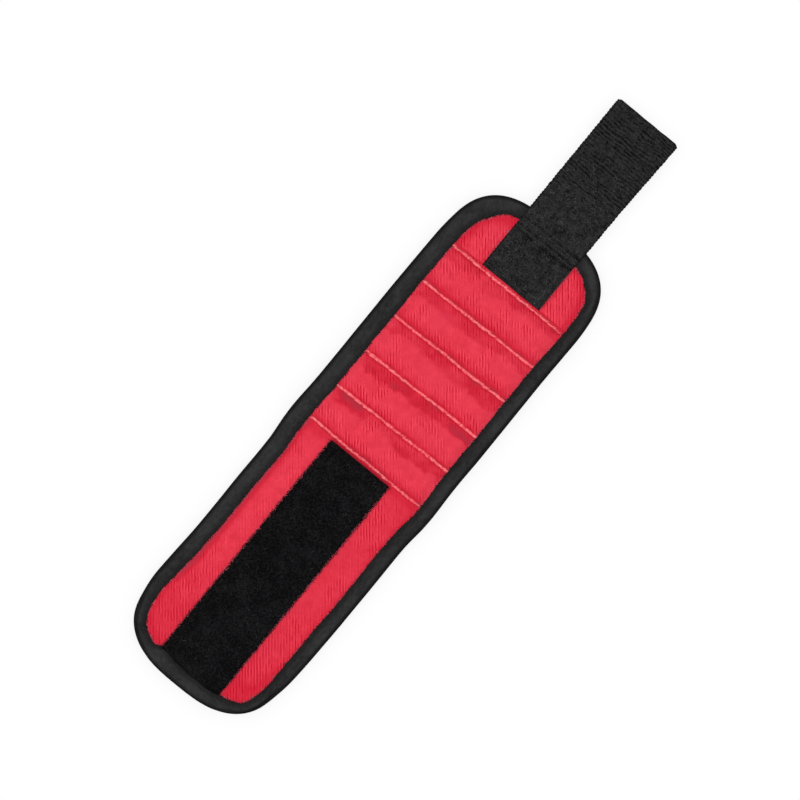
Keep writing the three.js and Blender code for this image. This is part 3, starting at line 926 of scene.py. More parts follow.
def make_shell():
    bm = grid(90, 240)
    across, along = shares_of(bm)
    y = TAIL_END + SHELL_INSET + along * (HEAD_END - TAIL_END - 2 * SHELL_INSET)
    left, right = side_edges(y, SHELL_INSET)
    x = left + across * (right - left)
    loose = ease((rim_distance(x, y) - LOOSE_FROM) / LOOSE_RUN)
    z = SHELL_TOP - 0.02 + SHELL_WAVE * loose * drift(x, y, 9, 3)
    move_to(bm, x, y, z)
    remember(bm, "painted_light_and_tone", shell_painted_light_and_tone(x, y))
    remember(bm, "weave", shell_weave(x, y))
    thicken(bm, np.full(len(z), SHELL_LOW))
    remember_rest(bm)
    return part_at_folds(bm, "shell", cuff_folds, red_twill, "shell_")


shell = make_shell()
declare_cloth(shell)

# %% [markdown]
# The pocket panel is sewn down along six lines and at its sides, and the magnets under it push each row
# up. A cloth simulation would round the five rows evenly. In the photograph they are steep at the tail's
# side, long and uneven at the head's, so the slopes are given and the lowest of them holds at each spot.
# Thread pulls the cloth into a groove with small puckers, and the slack between runs in soft folds.

# %% Shape of the pocket rows
POCKET_CLOTH = 0.8
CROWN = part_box("pocket_row_3")[1].z / MM - SHELL_TOP - POCKET_CLOTH
BINDING_LEFT = 10.3
BINDING_RIGHT = 8.4
TAIL_SIDE_RISE = 3.2
HEAD_SIDE_RISE = 6.8
HEAD_UNEVEN, HEAD_UNEVEN_RUN = 0.35, 12.0
ROWS_APART = 40
SIDE_RISE = 5.0
CORNER = 9
GROOVE = 0.6
GROOVE_WIDTH = 0.85
PUCKER = 0.2
PUCKER_RUN = 2.4
FOLD, FOLD_RUN = 0.3, 8.0
HEM_LIFT = 0.6
HEM_ROLL = 0.55
HEM_ROLL_RUN = 0.9


def lowest(*heights):
    """The lowest of several slopes, with the corners between them rounded."""
    return -np.log(sum(np.exp(-CORNER * height) for height in heights)) / CORNER


def pocket_rows(x, y):
    """For every spot: its row, how far the seams on the tail's and the head's side are, the slope's run."""
    seam = np.array(seam_lines)
    row = np.clip(np.searchsorted(seam, y) - 1, 0, len(seam) - 2)
    run = HEAD_SIDE_RISE * (1 + HEAD_UNEVEN * drift(x + ROWS_APART * row, y * 0, HEAD_UNEVEN_RUN, 11))
    return row, y - seam[row], seam[row + 1] - y, run


def pocket_height(x, y):
    row, below, above, run = pocket_rows(x, y)
    inner = np.where(x < 0, x + BODY_HALF - BINDING_LEFT, BODY_HALF - BINDING_RIGHT - x)
    crown = np.clip(lowest(below / TAIL_SIDE_RISE, above / run, inner / SIDE_RISE, 1), 0, 1)
    side = ease(inner / SIDE_RISE)
    groove = GROOVE * sum(bell(y - line, GROOVE_WIDTH) for line in seam_lines)
    to_seam = np.minimum(np.abs(below), np.abs(above))
    pucker = PUCKER * np.exp(-to_seam / PUCKER_RUN) * drift(x, row * 7.0, PUCKER_RUN, 21)
    folds = FOLD * drift(x * 0.75 + y * 0.66, y * 0.35 - x * 0.25, FOLD_RUN, 5) * crown
    hem = np.minimum(y - POCKET_LOW - HEM_LIFT, POCKET_HIGH - y)
    rolled = HEM_ROLL * (1 - ease(hem / HEM_ROLL_RUN))
    return SHELL_TOP + POCKET_CLOTH + (CROWN * crown + folds) - groove + pucker * side - rolled


print("rows rise", round(CROWN, 2), "mm over their seams")

# %% [markdown]
# As on the shell, shade is painted into the colour after the form. The slope at the head's side of each row
# and the last millimetres at the tail's get a painted shade of deep red, deepest right beside the thread.
# The ridges of the twill part in the slack cloth beside the seams and in a few patches elsewhere.

# %% Painted shade of the pocket rows
# How deep the painted shade is at the head's and at the tail's side of each row, the tail's row first.
HEAD_SHADE = np.array((1.35, 1.35, 0.85, 0.6, 0.7))
TAIL_SHADE = np.array((0.7, 0.5, 0.5, 0.95, 0.95))
TAIL_FADE = 7.5
SLOPE_SHARE = 0.95
SLOPE_RAGGED, SLOPE_RAGGED_RUN = 1.2, 2.5
SLOPE_EDGE = 2.8
THREAD_SHADE = 1.5
THREAD_FADE = 1.5
# How far from the seam on the tail's and on the head's side the cloth is slack, and the edge of that.
LOW_SLACK = 8.5
HIGH_SLACK = 7.0
SLACK_EDGE = 4.0
WEAVE_MOST = 0.8


def pocket_painted_light(x, y):
    """How light the panel's colour is: 1 is pale, 0 in deep painted shade and -1 in full painted shade."""
    row, below, above, run = pocket_rows(x, y)
    # Painted shade: on the slope at the head's side of each row, ragged and in patches, on the last
    # millimetres at the tail's side, and deepest in the gutters beside the thread.
    ragged = SLOPE_RAGGED * drift(x, y, SLOPE_RAGGED_RUN, 29)
    slope = 1 - ease((above - SLOPE_SHARE * run + ragged) / SLOPE_EDGE + 0.5)
    patchy = np.clip(0.68 + 0.8 * drift(x, y, 9, 22) + 0.35 * drift(x, y, 3, 23), 0.1, 1.3)
    patchy *= HEAD_SHADE[row]
    tail = TAIL_SHADE[row] * (1 - ease(below / TAIL_FADE))
    to_seam = np.minimum(np.abs(below), np.abs(above))
    seam = THREAD_SHADE * bell(to_seam, THREAD_FADE) * (0.7 + 0.7 * drift(x, y, 2.5, 27))
    return np.clip(1 - np.maximum(slope * patchy, tail) - seam, -1, 1)


def pocket_weave(x, y):
    """How clear the ridges are."""
    row, below, above, run = pocket_rows(x, y)
    low = ease((LOW_SLACK - below) / SLACK_EDGE) * (0.65 + 0.6 * drift(x, y, 7, 24))
    high = 0.6 * ease((HIGH_SLACK - above) / SLACK_EDGE) * (0.6 + 0.9 * drift(x, y, 6, 30))
    patch = 0.8 * ease((drift(x, y, 8, 25) - 0.15) / 0.35)
    return np.clip(WEAVE_MOST * np.maximum(np.maximum(low, high), patch), 0, WEAVE_MOST)


print("deepest row slope", HEAD_SHADE.max(), "mildest", HEAD_SHADE.min())

# %% [markdown]
# The panel is then one grid, tucked under the binding at both sides. Its seams were sewn by eye: they
# climb a little to the right and wander, and the whole grid follows them, so that grooves, shade and
# later the stitches stay together.

# %% Pocket panel
PANEL_TUCK = 4.0
SEAM_TILT = 0.02
SEAM_WANDER = 0.3
HEM_SHIFT = 0.8
HEM_SHIFT_RUN = 12.0
HEM_TILT = -0.012


def seam_shift(x, y):
    """How far a sewn line wanders off its drawn place: it climbs to the right, least at the two hems."""
    middle, half = (seam_lines[0] + seam_lines[-1]) / 2, (seam_lines[-1] - seam_lines[0]) / 2
    tilt = SEAM_TILT * (1 - 0.9 * np.abs((y - middle) / half) ** 4)
    low_hem = ease((seam_lines[0] + HEM_SHIFT_RUN - y) / HEM_SHIFT_RUN) * (HEM_SHIFT + HEM_TILT * x)
    return tilt * x + low_hem + SEAM_WANDER * drift(x, np.asarray(y) * 3.1, 11, 12)


def make_pockets():
    bm = grid(112, 176)
    across, along = shares_of(bm)
    y = POCKET_LOW + HEM_LIFT + along * (POCKET_HIGH - POCKET_LOW - HEM_LIFT)
    left = -BODY_HALF + BINDING_LEFT - PANEL_TUCK
    right = BODY_HALF - BINDING_RIGHT + PANEL_TUCK
    x = left + across * (right - left)
    z = pocket_height(x, y)
    move_to(bm, x, y + seam_shift(x, y), z)
    remember(bm, "painted_light_and_tone", pocket_painted_light(x, y))
    remember(bm, "weave", pocket_weave(x, y))
    thicken(bm, np.maximum(z - POCKET_CLOTH, SHELL_TOP + 0.03))
    remember_rest(bm)
    return part_at_folds(bm, "pockets", pocket_folds, red_twill, "pocket_")


pockets = make_pockets()
declare_cloth(pockets)

# %% [markdown]
# The binding is one woven tape folded over the rim of all layers. In section it is a flattened U: a
# round outer edge, a soft crown on top, a groove where its own seam pulls it down. A bevelled curve could
# carry that section round, but with one width only. The tape was sewn by hand and eye and shows wider on
# the left than on the right, so the section is worked out anew at each point of the rim.

# %% Section of the binding
TAPE_THICK = 0.8
EDGE_TOP = SHELL_TOP + TAPE_THICK
BINDING_STITCH = 1.8
FLANGE_BELOW = 9.0
LAYER_RISE = 0.8
RISE_RUN = 5.0
RISE_BEYOND = 4.0
LOOP_RISE_HALF, LOOP_RISE_LENGTH = 24.0, 20.0


def binding_section(width, top):
    """The folded tape from its upper inner edge round the rim to its lower one, then back inside."""
    stitch = width - BINDING_STITCH
    return [
        (width, top - TAPE_THICK + 0.02), (width + 0.02, top - 0.45), (width - 0.15, top - 0.12),
        (width - 0.5, top), (width - 1.1, top - 0.02), (stitch, top - 0.2), (stitch - 0.7, top - 0.02),
        (stitch - 1.7, top + 0.2), (stitch - 3.2, top + 0.32), (2.2, top + 0.18), (1.1, top - 0.12),
        (0.42, top - 0.6), (0.1, top - 1.2), (0, top - 1.9), (0, 1.6), (0.12, 0.95), (0.45, 0.45),
        (1.1, 0.12), (2.2, 0.0), (FLANGE_BELOW - 3, 0.0), (FLANGE_BELOW - 0.4, 0.02),
        (FLANGE_BELOW, 0.3), (FLANGE_BELOW, 0.78), (1.2, 0.84), (0.82, 1.3), (0.82, top - 1.3),
        (1.2, top - TAPE_THICK + 0.02),
    ]


def edge_top_at(x, y):
    """The binding lies higher where the pocket panel or the loop strip runs under it."""
    over_pockets = ease((y - POCKET_LOW + RISE_BEYOND) / RISE_RUN)
    over_pockets *= ease((POCKET_HIGH + RISE_BEYOND - y) / RISE_RUN)
    over_loops = (y < TAIL_END + LOOP_RISE_LENGTH) * ease((LOOP_RISE_HALF - np.abs(x)) / RISE_RUN)
    return EDGE_TOP + LAYER_RISE * np.maximum(over_pockets, over_loops)


print("binding section of", len(binding_section(FLANGE_BELOW, EDGE_TOP)), "points")

# %% [markdown]
# The tape's shown width changes all round the rim. One number would do for an even band, but the wide
# left side and the narrow and wide places at the round ends are part of this one's look. So the width
# is given at some thirty places, runs evenly from one to the next, and wanders a little in between.

# %% Shown width of the binding
TAPE_WANDER, TAPE_WANDER_RUN = 0.18, 13.0
TAPE_RAGGED, TAPE_RAGGED_RUN = 0.2, 2.1
# How wide the tape shows, walking round the rim: place across and along (mm from the tail's end), width.
TAPE_SHOWS = [
    (44, 110, 8.7), (45, 147, 8.4), (45, 215, 8.4), (45, 245, 8.1), (45, 262, 7.7), (44, 274, 7.0),
    (41, 284, 7.3), (36, 291, 8.3), (25, 297, 8.4), (0, 300, 8.2), (-25, 297, 8.6), (-38, 288, 11.5),
    (-42, 280, 10.6), (-44, 270, 10.2), (-45, 215, 10.3), (-45, 147, 10.1), (-44, 100, 9.6),
    (-44, 60, 9.2), (-45, 40, 8.3), (-45, 30, 7.6), (-43, 21, 6.8), (-36, 9, 6.4), (-25, 3, 6.9),
    (-20, 1.5, 10.4), (-14, 0.6, 9.2), (0, 0, 8.8), (22, 2, 8.0), (34, 10, 5.4), (40, 21, 6.4),
    (42, 36, 8.0), (44, 60, 8.5),
]


def binding_width():
    """The width that shows at every point of the rim, between the places where it was measured."""
    spots = np.array(TAPE_SHOWS)
    place = spots[:, :2] + (0, TAIL_END)
    station = [np.linalg.norm(rim - spot, axis=1).argmin() for spot in place]
    run = rim_length[station]
    order = np.argsort(run)
    uneven = TAPE_WANDER * drift(rim_length, rim_length * 0, TAPE_WANDER_RUN, 31)
    uneven += TAPE_RAGGED * drift(rim_length, rim_length * 0, TAPE_RAGGED_RUN, 33)
    return uneven + np.interp(rim_length, run[order], spots[order, 2], period=rim_length[-1] + RIM_STEP)


print("tape shows from", binding_width().min().round(1), "to", binding_width().max().round(1), "mm")

# %% [markdown]
# A grid becomes the tape: its columns are the points of the rim, its rows the steps of the section, and
# its two pairs of edges meet and are merged. The flat tape is as wide as the U is long.

# %% Edge binding
def make_binding():
    count = len(rim)
    width = binding_width()
    top = edge_top_at(rim[:, 0], rim[:, 1]) + 0.1 * drift(rim_length, rim_length * 0, 5, 32)
    sections = np.array([binding_section(*sizes) for sizes in zip(width, top)])
    steps = sections.shape[1]
    bm = grid(count, steps)
    across, along = shares_of(bm)
    station = np.rint(across * count).astype(int) % count
    step = np.rint(along * steps).astype(int) % steps
    inset, z = sections[station, step].T
    place = rim[station] + rim_in[station] * inset[:, None]
    move_to(bm, place[:, 0], place[:, 1], z)
    tape = bm.verts.layers.float_vector.new("along")
    for vert, run, out, back in zip(bm.verts, rim_length[station], inset, width[station] - inset):
        vert[tape] = (run * MM, out * MM, back * MM)
    bmesh.ops.remove_doubles(bm, verts=bm.verts, dist=1e-7)
    bmesh.ops.recalc_face_normals(bm, faces=bm.faces)
    remember_rest(bm)
    return part_at_folds(bm, "binding", cuff_folds, binding_tape, "binding_")


binding = make_binding()

# %% [markdown]
# The lining is a thick air mesh: two knitted faces held apart, with rows of staggered holes. A picture
# with clear spots could fake the holes, but they are large enough to be felt. A grid with every other row
# shifted gives the stagger, and insetting each face and pushing it in makes the hole.

# %% Air-mesh lining
LINING_INSET = 1.6
MESH_CELL = 2.8
MESH_BAR = 0.75
MESH_TAPER = 0.15
MESH_DEPTH = 0.9


def make_lining():
    length = HEAD_END - TAIL_END - 2 * LINING_INSET
    rows, columns = round(length / MESH_CELL), round(2 * BODY_HALF / MESH_CELL)
    bm = grid(columns, rows)
    across, along = shares_of(bm)
    shift = np.where(np.rint(along * rows) % 2 == 0, 0.25, -0.25) / columns
    inside = (across > 1e-6) & (across < 1 - 1e-6)
    y = TAIL_END + LINING_INSET + along * length
    left, right = side_edges(y, LINING_INSET)
    x = left + (across + shift * inside) * (right - left)
    z = (TAPE_THICK + 0.06) * (1 - ease((rim_distance(x, y) - FLANGE_BELOW + 1.0) / 2.4))
    move_to(bm, x, y, z)
    bmesh.ops.reverse_faces(bm, faces=bm.faces)
    thicken(bm, np.full(len(z), SHELL_LOW))
    under = [face for face in bm.faces if face.normal.z < -0.5]
    centres = np.array([face.calc_center_median()[:2] for face in under]) / MM
    open_knit = rim_distance(*centres.T) > FLANGE_BELOW + 1
    knit = [face for face, is_open in zip(under, open_knit) if is_open]
    bmesh.ops.inset_individual(bm, faces=knit, thickness=MESH_BAR / 2 * MM, use_even_offset=True)
    bmesh.ops.inset_individual(bm, faces=knit, thickness=MESH_TAPER * MM, depth=-MESH_DEPTH * MM,
                               use_even_offset=True)
    remember_rest(bm)
    return part_at_folds(bm, "lining", cuff_folds, air_mesh, "lining_")


lining = make_lining()
declare_cloth(lining)

# %% [markdown]
# The loop strip is the soft half of the closing: a woven tape brushed up into a dense pile of fine
# loops. Hair could cover it, but every piece is kept as a mesh. So its body is a padded strip with a
# lumpy top and ragged edges, and small bent fibres are set on it further below.

# %% Loop strip
LOOP_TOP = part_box("loop_tape_2")[1].z / MM
LOOP_GROUND = 0.7
BINDING_TAIL = 8.4
LOOP_TUCK = 4.0
PILE_LUMP = 0.14
LOOP_RAGGED = 0.22


def loop_pile_height(x):
    """How high the brushed pile stands over its tape, less at the strip's edges."""
    edge = np.minimum(x - LOOP_LEFT, LOOP_RIGHT - x)
    return (LOOP_TOP - SHELL_TOP - LOOP_GROUND) * ease((edge + 0.3) / 1.5)


def make_loop_strip():
    bm = grid(60, 210)
    across, along = shares_of(bm)
    start = TAIL_END + BINDING_TAIL - LOOP_TUCK
    y = start + along * (POCKET_LOW + HEM_LIFT - 0.1 - start)
    x = LOOP_LEFT + across * (LOOP_RIGHT - LOOP_LEFT)
    ragged = LOOP_RAGGED * drift(x * 0, y, 1.4, 41)
    x = x + np.where(across < 0.01, ragged, np.where(across > 0.99, -ragged, 0))
    under = ease((y - TAIL_END - BINDING_TAIL - 0.4) / 1.6)
    lump = PILE_LUMP * drift(x, y, 1.1, 42) + PILE_LUMP * drift(x, y, 5, 43)
    z = SHELL_TOP + LOOP_GROUND + loop_pile_height(x) * under + lump * under
    move_to(bm, x, y, z)
    thicken(bm, np.full(len(z), SHELL_TOP + 0.02))
    remember_rest(bm)
    return part_at_folds(bm, "loop_strip", tail_folds, loop_pile, "loop_tape")


loop_strip = make_loop_strip()
declare_cloth(loop_strip)

# %% [markdown]
# The strap is a heavy ribbed tape. Its root is sewn flat on the head, steps up over the binding and runs
# on free past it. The ribs run across it, and wear has drawn them unevenly. A bump texture would leave
# its outline smooth, so the ribs are in the mesh: waves that slip and fade, with scalloped edges. Where
# the rows of stitches cross the root, the tape sinks between them.

# %% Shape of the strap
STRAP_GROUND = 1.0
STRAP_RIB = 1.9
STRAP_RIB_HEIGHT = 0.22
ROOT_STEP = 14.8
ROOT_STEP_RUN = 3.5
RIBS_FROM, RIBS_RUN = 8.0, 24.0
# Rows of stitches and the grooves between them, in mm down from the head's end, and how deep a groove is.
STRAP_ROWS = (4.1, 6.6, 8.5, 11.0)
STRAP_GROOVES = ((5.6, 0.75), (9.8, 0.75), (12.6, 1.0))
STRAP_GROOVE_RUN = 0.75
STRAP_GROOVE_SINK = 0.25
STEP_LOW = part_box("strap_root")[1].y / MM - ROOT_STEP
strap_rows = [HEAD_END - row for row in STRAP_ROWS]


def strap_bottom(y):
    """The strap's underside: on the shell at its root, on the binding past it."""
    return SHELL_TOP + 0.02 + (EDGE_TOP + 0.34 - SHELL_TOP) * ease((y - STEP_LOW) / ROOT_STEP_RUN)


def strap_ribs(x, y):
    """The wave of the ribs, and the whole weave: ribs on the free end, fuzz on the root."""
    slip = 0.9 * drift(x, y, 8, 51) + 0.45 * drift(x, y, 3, 52)
    ribs = np.sin(2 * math.pi * (y + slip) / STRAP_RIB)
    clear = ease((y - HEAD_END - RIBS_FROM) / RIBS_RUN)
    wear_and_shade = np.clip(0.6 + 0.9 * drift(x * 0.3, y, 2, 54), 0.1, 1.3)
    fuzz = drift(x, y, 1.3, 53) + 0.6 * drift(x, y, 2.9, 55)
    return ribs, 1.3 * ribs * wear_and_shade * clear + fuzz * (0.6 - 0.35 * clear), clear


print("strap's rows of stitches at", [round(row, 1) for row in strap_rows])

# %% [markdown]
# The strap's grid is fine along its length, with about eight rows of points to a rib, so that no rib is
# cut short. From the root, which the sewing draws in, it fans out a little. Edges and tip are worn round,
# the ribs scallop the edges, and the cut tip is drawn in at its corners and a little uneven.

# %% Strap
STRAP_START = POCKET_HIGH + 0.1
STRAP_INSET = 0.6
STRAP_FAN, FAN_FROM, FAN_RUN = 1.3, 15.0, 60.0
ROOT_NARROW, NARROW_TO, NARROW_RUN = 0.6, 4.0, 18.0
EDGE_DROP, EDGE_DROP_RUN = 0.35, 0.9
TIP_DROP, TIP_DROP_RUN = 0.3, 0.8
TIP_RUN = 6.0
TIP_CORNER, TIP_CORNER_RUN = 0.9, 1.8
TIP_UNEVEN = 0.15
SCALLOP = 0.12
EDGE_ROUGH = 0.1


def make_strap():
    bm = grid(56, 460)
    across, along = shares_of(bm)
    y = STRAP_START + along * (STRAP_TIP - STRAP_START)
    fan = STRAP_FAN * ease((y - HEAD_END - FAN_FROM) / FAN_RUN)
    fan -= ROOT_NARROW * ease((HEAD_END + NARROW_TO - y) / NARROW_RUN)
    x = STRAP_LEFT + STRAP_INSET + across * (STRAP_RIGHT - STRAP_LEFT - STRAP_INSET + fan)
    ribs, weave, clear = strap_ribs(x, y)
    edge = np.minimum(across, 1 - across) * (STRAP_RIGHT - STRAP_LEFT)
    tip = STRAP_TIP - y
    sunk_and_shaded = sum(deep * bell(y - HEAD_END + row, STRAP_GROOVE_RUN) for row, deep in STRAP_GROOVES)
    z = strap_bottom(y) + STRAP_GROUND + STRAP_RIB_HEIGHT * weave * ease(edge / 1.2)
    z -= EDGE_DROP * (1 - ease(edge / EDGE_DROP_RUN))
    z -= TIP_DROP * (1 - ease(tip / TIP_DROP_RUN))
    z -= STRAP_GROOVE_SINK * sunk_and_shaded
    root = ease((strap_rows[-1] - y) / 3)
    # Painted shade and light: darker at the edges, at the tip, in the grooves between the sewn rows and
    # between the ribs, paler on the rib tops, and darker on the root and a little on the free end.
    pale = ease(edge / 1.6) * ease(tip / 1.4) * (1 - sunk_and_shaded) * (1 - 0.2 * clear - 0.25 * root)
    scallop = SCALLOP * ribs + EDGE_ROUGH * drift(x, y, 2.2, 56)
    x = x + np.where(across < 0.001, scallop, np.where(across > 0.999, -scallop, 0))
    at_tip = ease((y - STRAP_TIP + TIP_RUN) / TIP_RUN)
    drawn_in = TIP_CORNER * (1 - ease(edge / TIP_CORNER_RUN)) + TIP_UNEVEN
    y = y - at_tip * (drawn_in + TIP_UNEVEN * drift(x, y * 0, 5, 57))
    move_to(bm, x, y, z)
    remember(bm, "painted_light_and_tone", pale * np.clip(0.5 + 0.45 * weave, 0, 1))
    thicken(bm, strap_bottom(y))
    remember_rest(bm)
    return part_at_folds(bm, "strap", strap_folds, webbing, "strap_")


strap = make_strap()
declare_cloth(strap)

# %% [markdown]
# Stitches, fibres and hooks are small shapes repeated many times. Linked copies would be thousands of
# objects, each a piece of its own. So one shape is modelled, an Array modifier makes the copies in one
# mesh, and each copy is then scaled, turned and moved to its own place.

# %% Copies of a small shape
def copies(bm, count):
    mesh = bpy.data.meshes.new("one")
    bm.to_mesh(mesh)
    bm.free()
    holder = bpy.data.objects.new("one", mesh)
    bpy.context.scene.collection.objects.link(holder)
    array = holder.modifiers.new("copies", "ARRAY")
    array.count = count
    array.use_relative_offset = False
    ready = holder.evaluated_get(bpy.context.evaluated_depsgraph_get())
    many = bpy.data.meshes.new_from_object(ready)
    bpy.data.objects.remove(holder)
    bpy.data.meshes.remove(mesh)
    return many


def scatter(template, name, places, turns, sizes, finish):
    """Copies of the template at places (mm), each turned by its own axes (rows) and scaled."""
    many = copies(template(), len(places))
    shape = np.array([vert.co for vert in many.vertices]).reshape(len(places), -1, 3)
    shape = np.einsum("nki,nij->nkj", shape * sizes[:, None, :], turns) + places[:, None, :]
    spots = (shape * MM).astype(np.float32).ravel()
    many.vertices.foreach_set("co", spots)
    many.attributes.new("rest", "FLOAT_VECTOR", "POINT").data.foreach_set("vector", spots)
    many.name = name
    return new_piece(name, many, finish)


# %% [markdown]
# A row of copies runs over many folds, but a piece bends over one only. So the copies are sorted by the
# fold in whose stretch they lie. One more helper works out how each copy is turned, from the way it
# points and the way that is up.

# %% Copies along the band
def scatter_along(template, stem, names, places, turns, sizes, finish):
    """The copies sorted by the fold whose stretch they lie in, one piece for each."""
    for name, low, high in stretches(names):
        here = (places[:, 1] >= low) & (places[:, 1] < high)
        if here.any():
            piece = scatter(template, f"{stem}_{name}", places[here], turns[here], sizes[here], finish)
            bend_at(piece, name)
    print(stem, len(places), "copies")


def turned(directions, up=(0, 0, 1)):
    """Axes for copies that point along directions and stand up along z."""
    forward = directions / np.linalg.norm(directions, axis=1)[:, None]
    side = np.cross(np.broadcast_to(up, forward.shape), forward)
    side /= np.linalg.norm(side, axis=1)[:, None]
    return np.stack([forward, side, np.cross(forward, side)], 1)


print("axes of a copy that points along the band", turned(np.array([[0.0, 1.0, 0.0]]))[0].tolist())

# %% [markdown]
# A stitch is a rice grain of thread, made from a small sphere. The coral seam stitches run along the six
# lines, a little uneven in length and direction, and overlap to a cord, finer at the two hems.

# %% Seam stitches
SEAM_LAY = 1.7
SEAM_PLY = (3.2, 2.2, 1.0)
HEM_PLY = 0.72
SEAM_STRAY = 0.22
SEAM_RISE = 0.35


def stitch_shape():
    """One stitch, a rice grain along x, 1 long."""
    bm = bmesh.new()
    bmesh.ops.create_uvsphere(bm, u_segments=6, v_segments=6, radius=0.5)
    bmesh.ops.rotate(bm, verts=bm.verts, matrix=Matrix.Rotation(math.pi / 2, 3, "Y"))
    return bm


def sew_seams():
    rng = np.random.default_rng(61)
    left, right = -BODY_HALF + BINDING_LEFT + 0.2, BODY_HALF - BINDING_RIGHT - 0.2
    count = round((right - left) / SEAM_LAY)
    x = np.tile(left + (np.arange(count) + 0.5) * (right - left) / count, len(seam_lines))
    line = np.repeat(seam_lines, count)
    y = line + seam_shift(x, line) + rng.uniform(-SEAM_STRAY, SEAM_STRAY, len(line))
    z = pocket_height(x, line) + SEAM_RISE
    heading = np.column_stack([np.ones_like(x), rng.uniform(0.15, 0.4, len(x)), np.zeros_like(x)])
    sizes = SEAM_PLY * rng.uniform(0.6, 1.25, (len(x), 3))
    sizes[:, 1] *= np.where(np.isin(line, (seam_lines[0], seam_lines[-1])), HEM_PLY, 1)
    scatter_along(stitch_shape, "seam_stitches", pocket_folds, np.column_stack([x, y, z]),
                  turned(heading), sizes, seam_thread)


sew_seams()

# %% [markdown]
# The binding is sewn in black along its inner edge, all round but for the stretch under the strap. The
# stitches could follow the drawn rim, but then they would miss the groove where the tape is wide, so
# they keep their distance from the tape's shown edge.

# %% Binding stitches
EDGE_STITCH = 2.6
EDGE_PLY = (EDGE_STITCH * 0.92, 0.55, 0.4)
EDGE_SINK = 0.12
STRAP_COVERS = 20.0


def sew_binding():
    rng = np.random.default_rng(62)
    total = rim_length[-1]
    count = round(total / EDGE_STITCH)
    run = (np.arange(count) + 0.5) * total / count
    station = np.searchsorted(rim_length, run) % len(rim)
    inset = (binding_width() - BINDING_STITCH)[station]
    place = rim[station] + rim_in[station] * inset[:, None]
    z = edge_top_at(rim[station, 0], rim[station, 1]) - EDGE_SINK
    beside_strap = (place[:, 0] <= STRAP_LEFT) | (place[:, 0] >= STRAP_RIGHT)
    keep = beside_strap | (place[:, 1] <= HEAD_END - STRAP_COVERS)
    heading = np.column_stack([rim_run[station], np.zeros(count)])
    sizes = EDGE_PLY * rng.uniform(0.92, 1.06, (count, 1))
    scatter_along(stitch_shape, "binding_stitches", cuff_folds, np.column_stack([place, z])[keep],
                  turned(heading)[keep], sizes[keep], black_thread)


sew_binding()

# %% [markdown]
# The strap's root is held by a box of dark grey stitches and by four close rows across it where it leaves
# the head. All of them are straight lines, so a list of their ends is enough.

# %% Strap stitches
STRAP_STITCH = 2.3
STRAP_PLY = (STRAP_STITCH * 1.15, 0.85, 0.6)
STRAP_STRAY = 0.12
STRAP_THREAD_RISE = 0.1
# How far inside the strap's sides, the panel's end and the last row the box is sewn.
BOX_LEFT, BOX_RIGHT, BOX_LOW, BOX_HIGH = 1.8, 1.0, 2.0, 1.5


def sew_strap():
    rng = np.random.default_rng(63)
    left, right = STRAP_LEFT + BOX_LEFT, STRAP_RIGHT - BOX_RIGHT
    low, high = POCKET_HIGH + BOX_LOW, strap_rows[-1] - BOX_HIGH
    lines = [((left, row), (right, row)) for row in strap_rows]
    lines += [((left, low), (left, high)), ((right, low), (right, high)), ((left, low), (right, low))]
    places, headings = [], []
    for start, end in lines:
        length = math.dist(start, end)
        count = round(length / STRAP_STITCH)
        shares = (np.arange(count) + 0.5) / count
        places.append(np.array(start) + shares[:, None] * np.subtract(end, start))
        headings.append(np.tile(np.subtract(end, start) / length, (count, 1)))
    place = np.concatenate(places) + rng.uniform(-STRAP_STRAY, STRAP_STRAY, (sum(map(len, places)), 2))
    z = strap_bottom(place[:, 1]) + STRAP_GROUND + STRAP_THREAD_RISE
    heading = np.column_stack([np.concatenate(headings), np.zeros(len(z))])
    sizes = STRAP_PLY * rng.uniform(0.9, 1.1, (len(z), 1))
    scatter_along(stitch_shape, "strap_stitches", strap_folds, np.column_stack([place, z]),
                  turned(heading), sizes, strap_thread)


sew_strap()

# %% [markdown]
# Brushed nylon is a fur of fine loops. Curves could draw them, but one loop as half a ring, spun from a
# three-sided thread, has so few faces that thousands of copies stay light. They are drawn a little
# thicker than real fibres, so that they still show, and each is turned any way and leans over.

# %% Fibre loops
def fibre_shape():
    """A loop of fibre that stands on its two ends, 1 wide and half as high."""
    bm = bmesh.new()
    thread = bmesh.ops.create_circle(bm, segments=3, radius=0.08)["verts"]
    bmesh.ops.translate(bm, verts=thread, vec=(0.5, 0, 0))
    bmesh.ops.spin(bm, geom=bm.verts[:] + bm.edges[:], axis=(0, 1, 0), angle=-math.pi, steps=5)
    bmesh.ops.holes_fill(bm, edges=bm.edges)
    bmesh.ops.recalc_face_normals(bm, faces=bm.faces)
    return bm


def fur(stem, names, place, lean, spread, seed, finish, thick=1.0):
    """Loops at the places, turned any way and leaning over by up to lean (mm of side for one of height)."""
    rng = np.random.default_rng(seed)
    count = len(place)
    angle = rng.uniform(0, math.pi, count)
    heading = np.column_stack([np.cos(angle), np.sin(angle), np.zeros(count)])
    upward = np.column_stack([rng.uniform(-lean, lean, (count, 2)), np.ones(count)])
    width = rng.uniform(*spread, count)
    thread = thick * rng.uniform(0.8, 1.2, count)
    sizes = np.column_stack([width, thread, width * rng.uniform(0.8, 1.4, count)])
    scatter_along(fibre_shape, stem, names, place, turned(heading, upward), sizes, finish)


trial = fibre_shape()
print("one fibre has", len(trial.faces), "faces")
trial.free()

# %% [markdown]
# Some thousands of loops stand on the loop strip and lean over its edges, and a few are pulled out long.
# A few hundred lie on the strap, where use has drawn the yarn up, but none in its sewn rows, where the
# thread holds it down.

# %% Fibres of the loop strip and the strap
LOOP_FIBRES = 2600
PULLED_LOOPS = 60
EDGE_FIBRE_STEP = 0.55
STRAP_FIBRES = 380
STRAP_FUR_INSET = 2.8
STRAP_FUR_REACH = 38.0


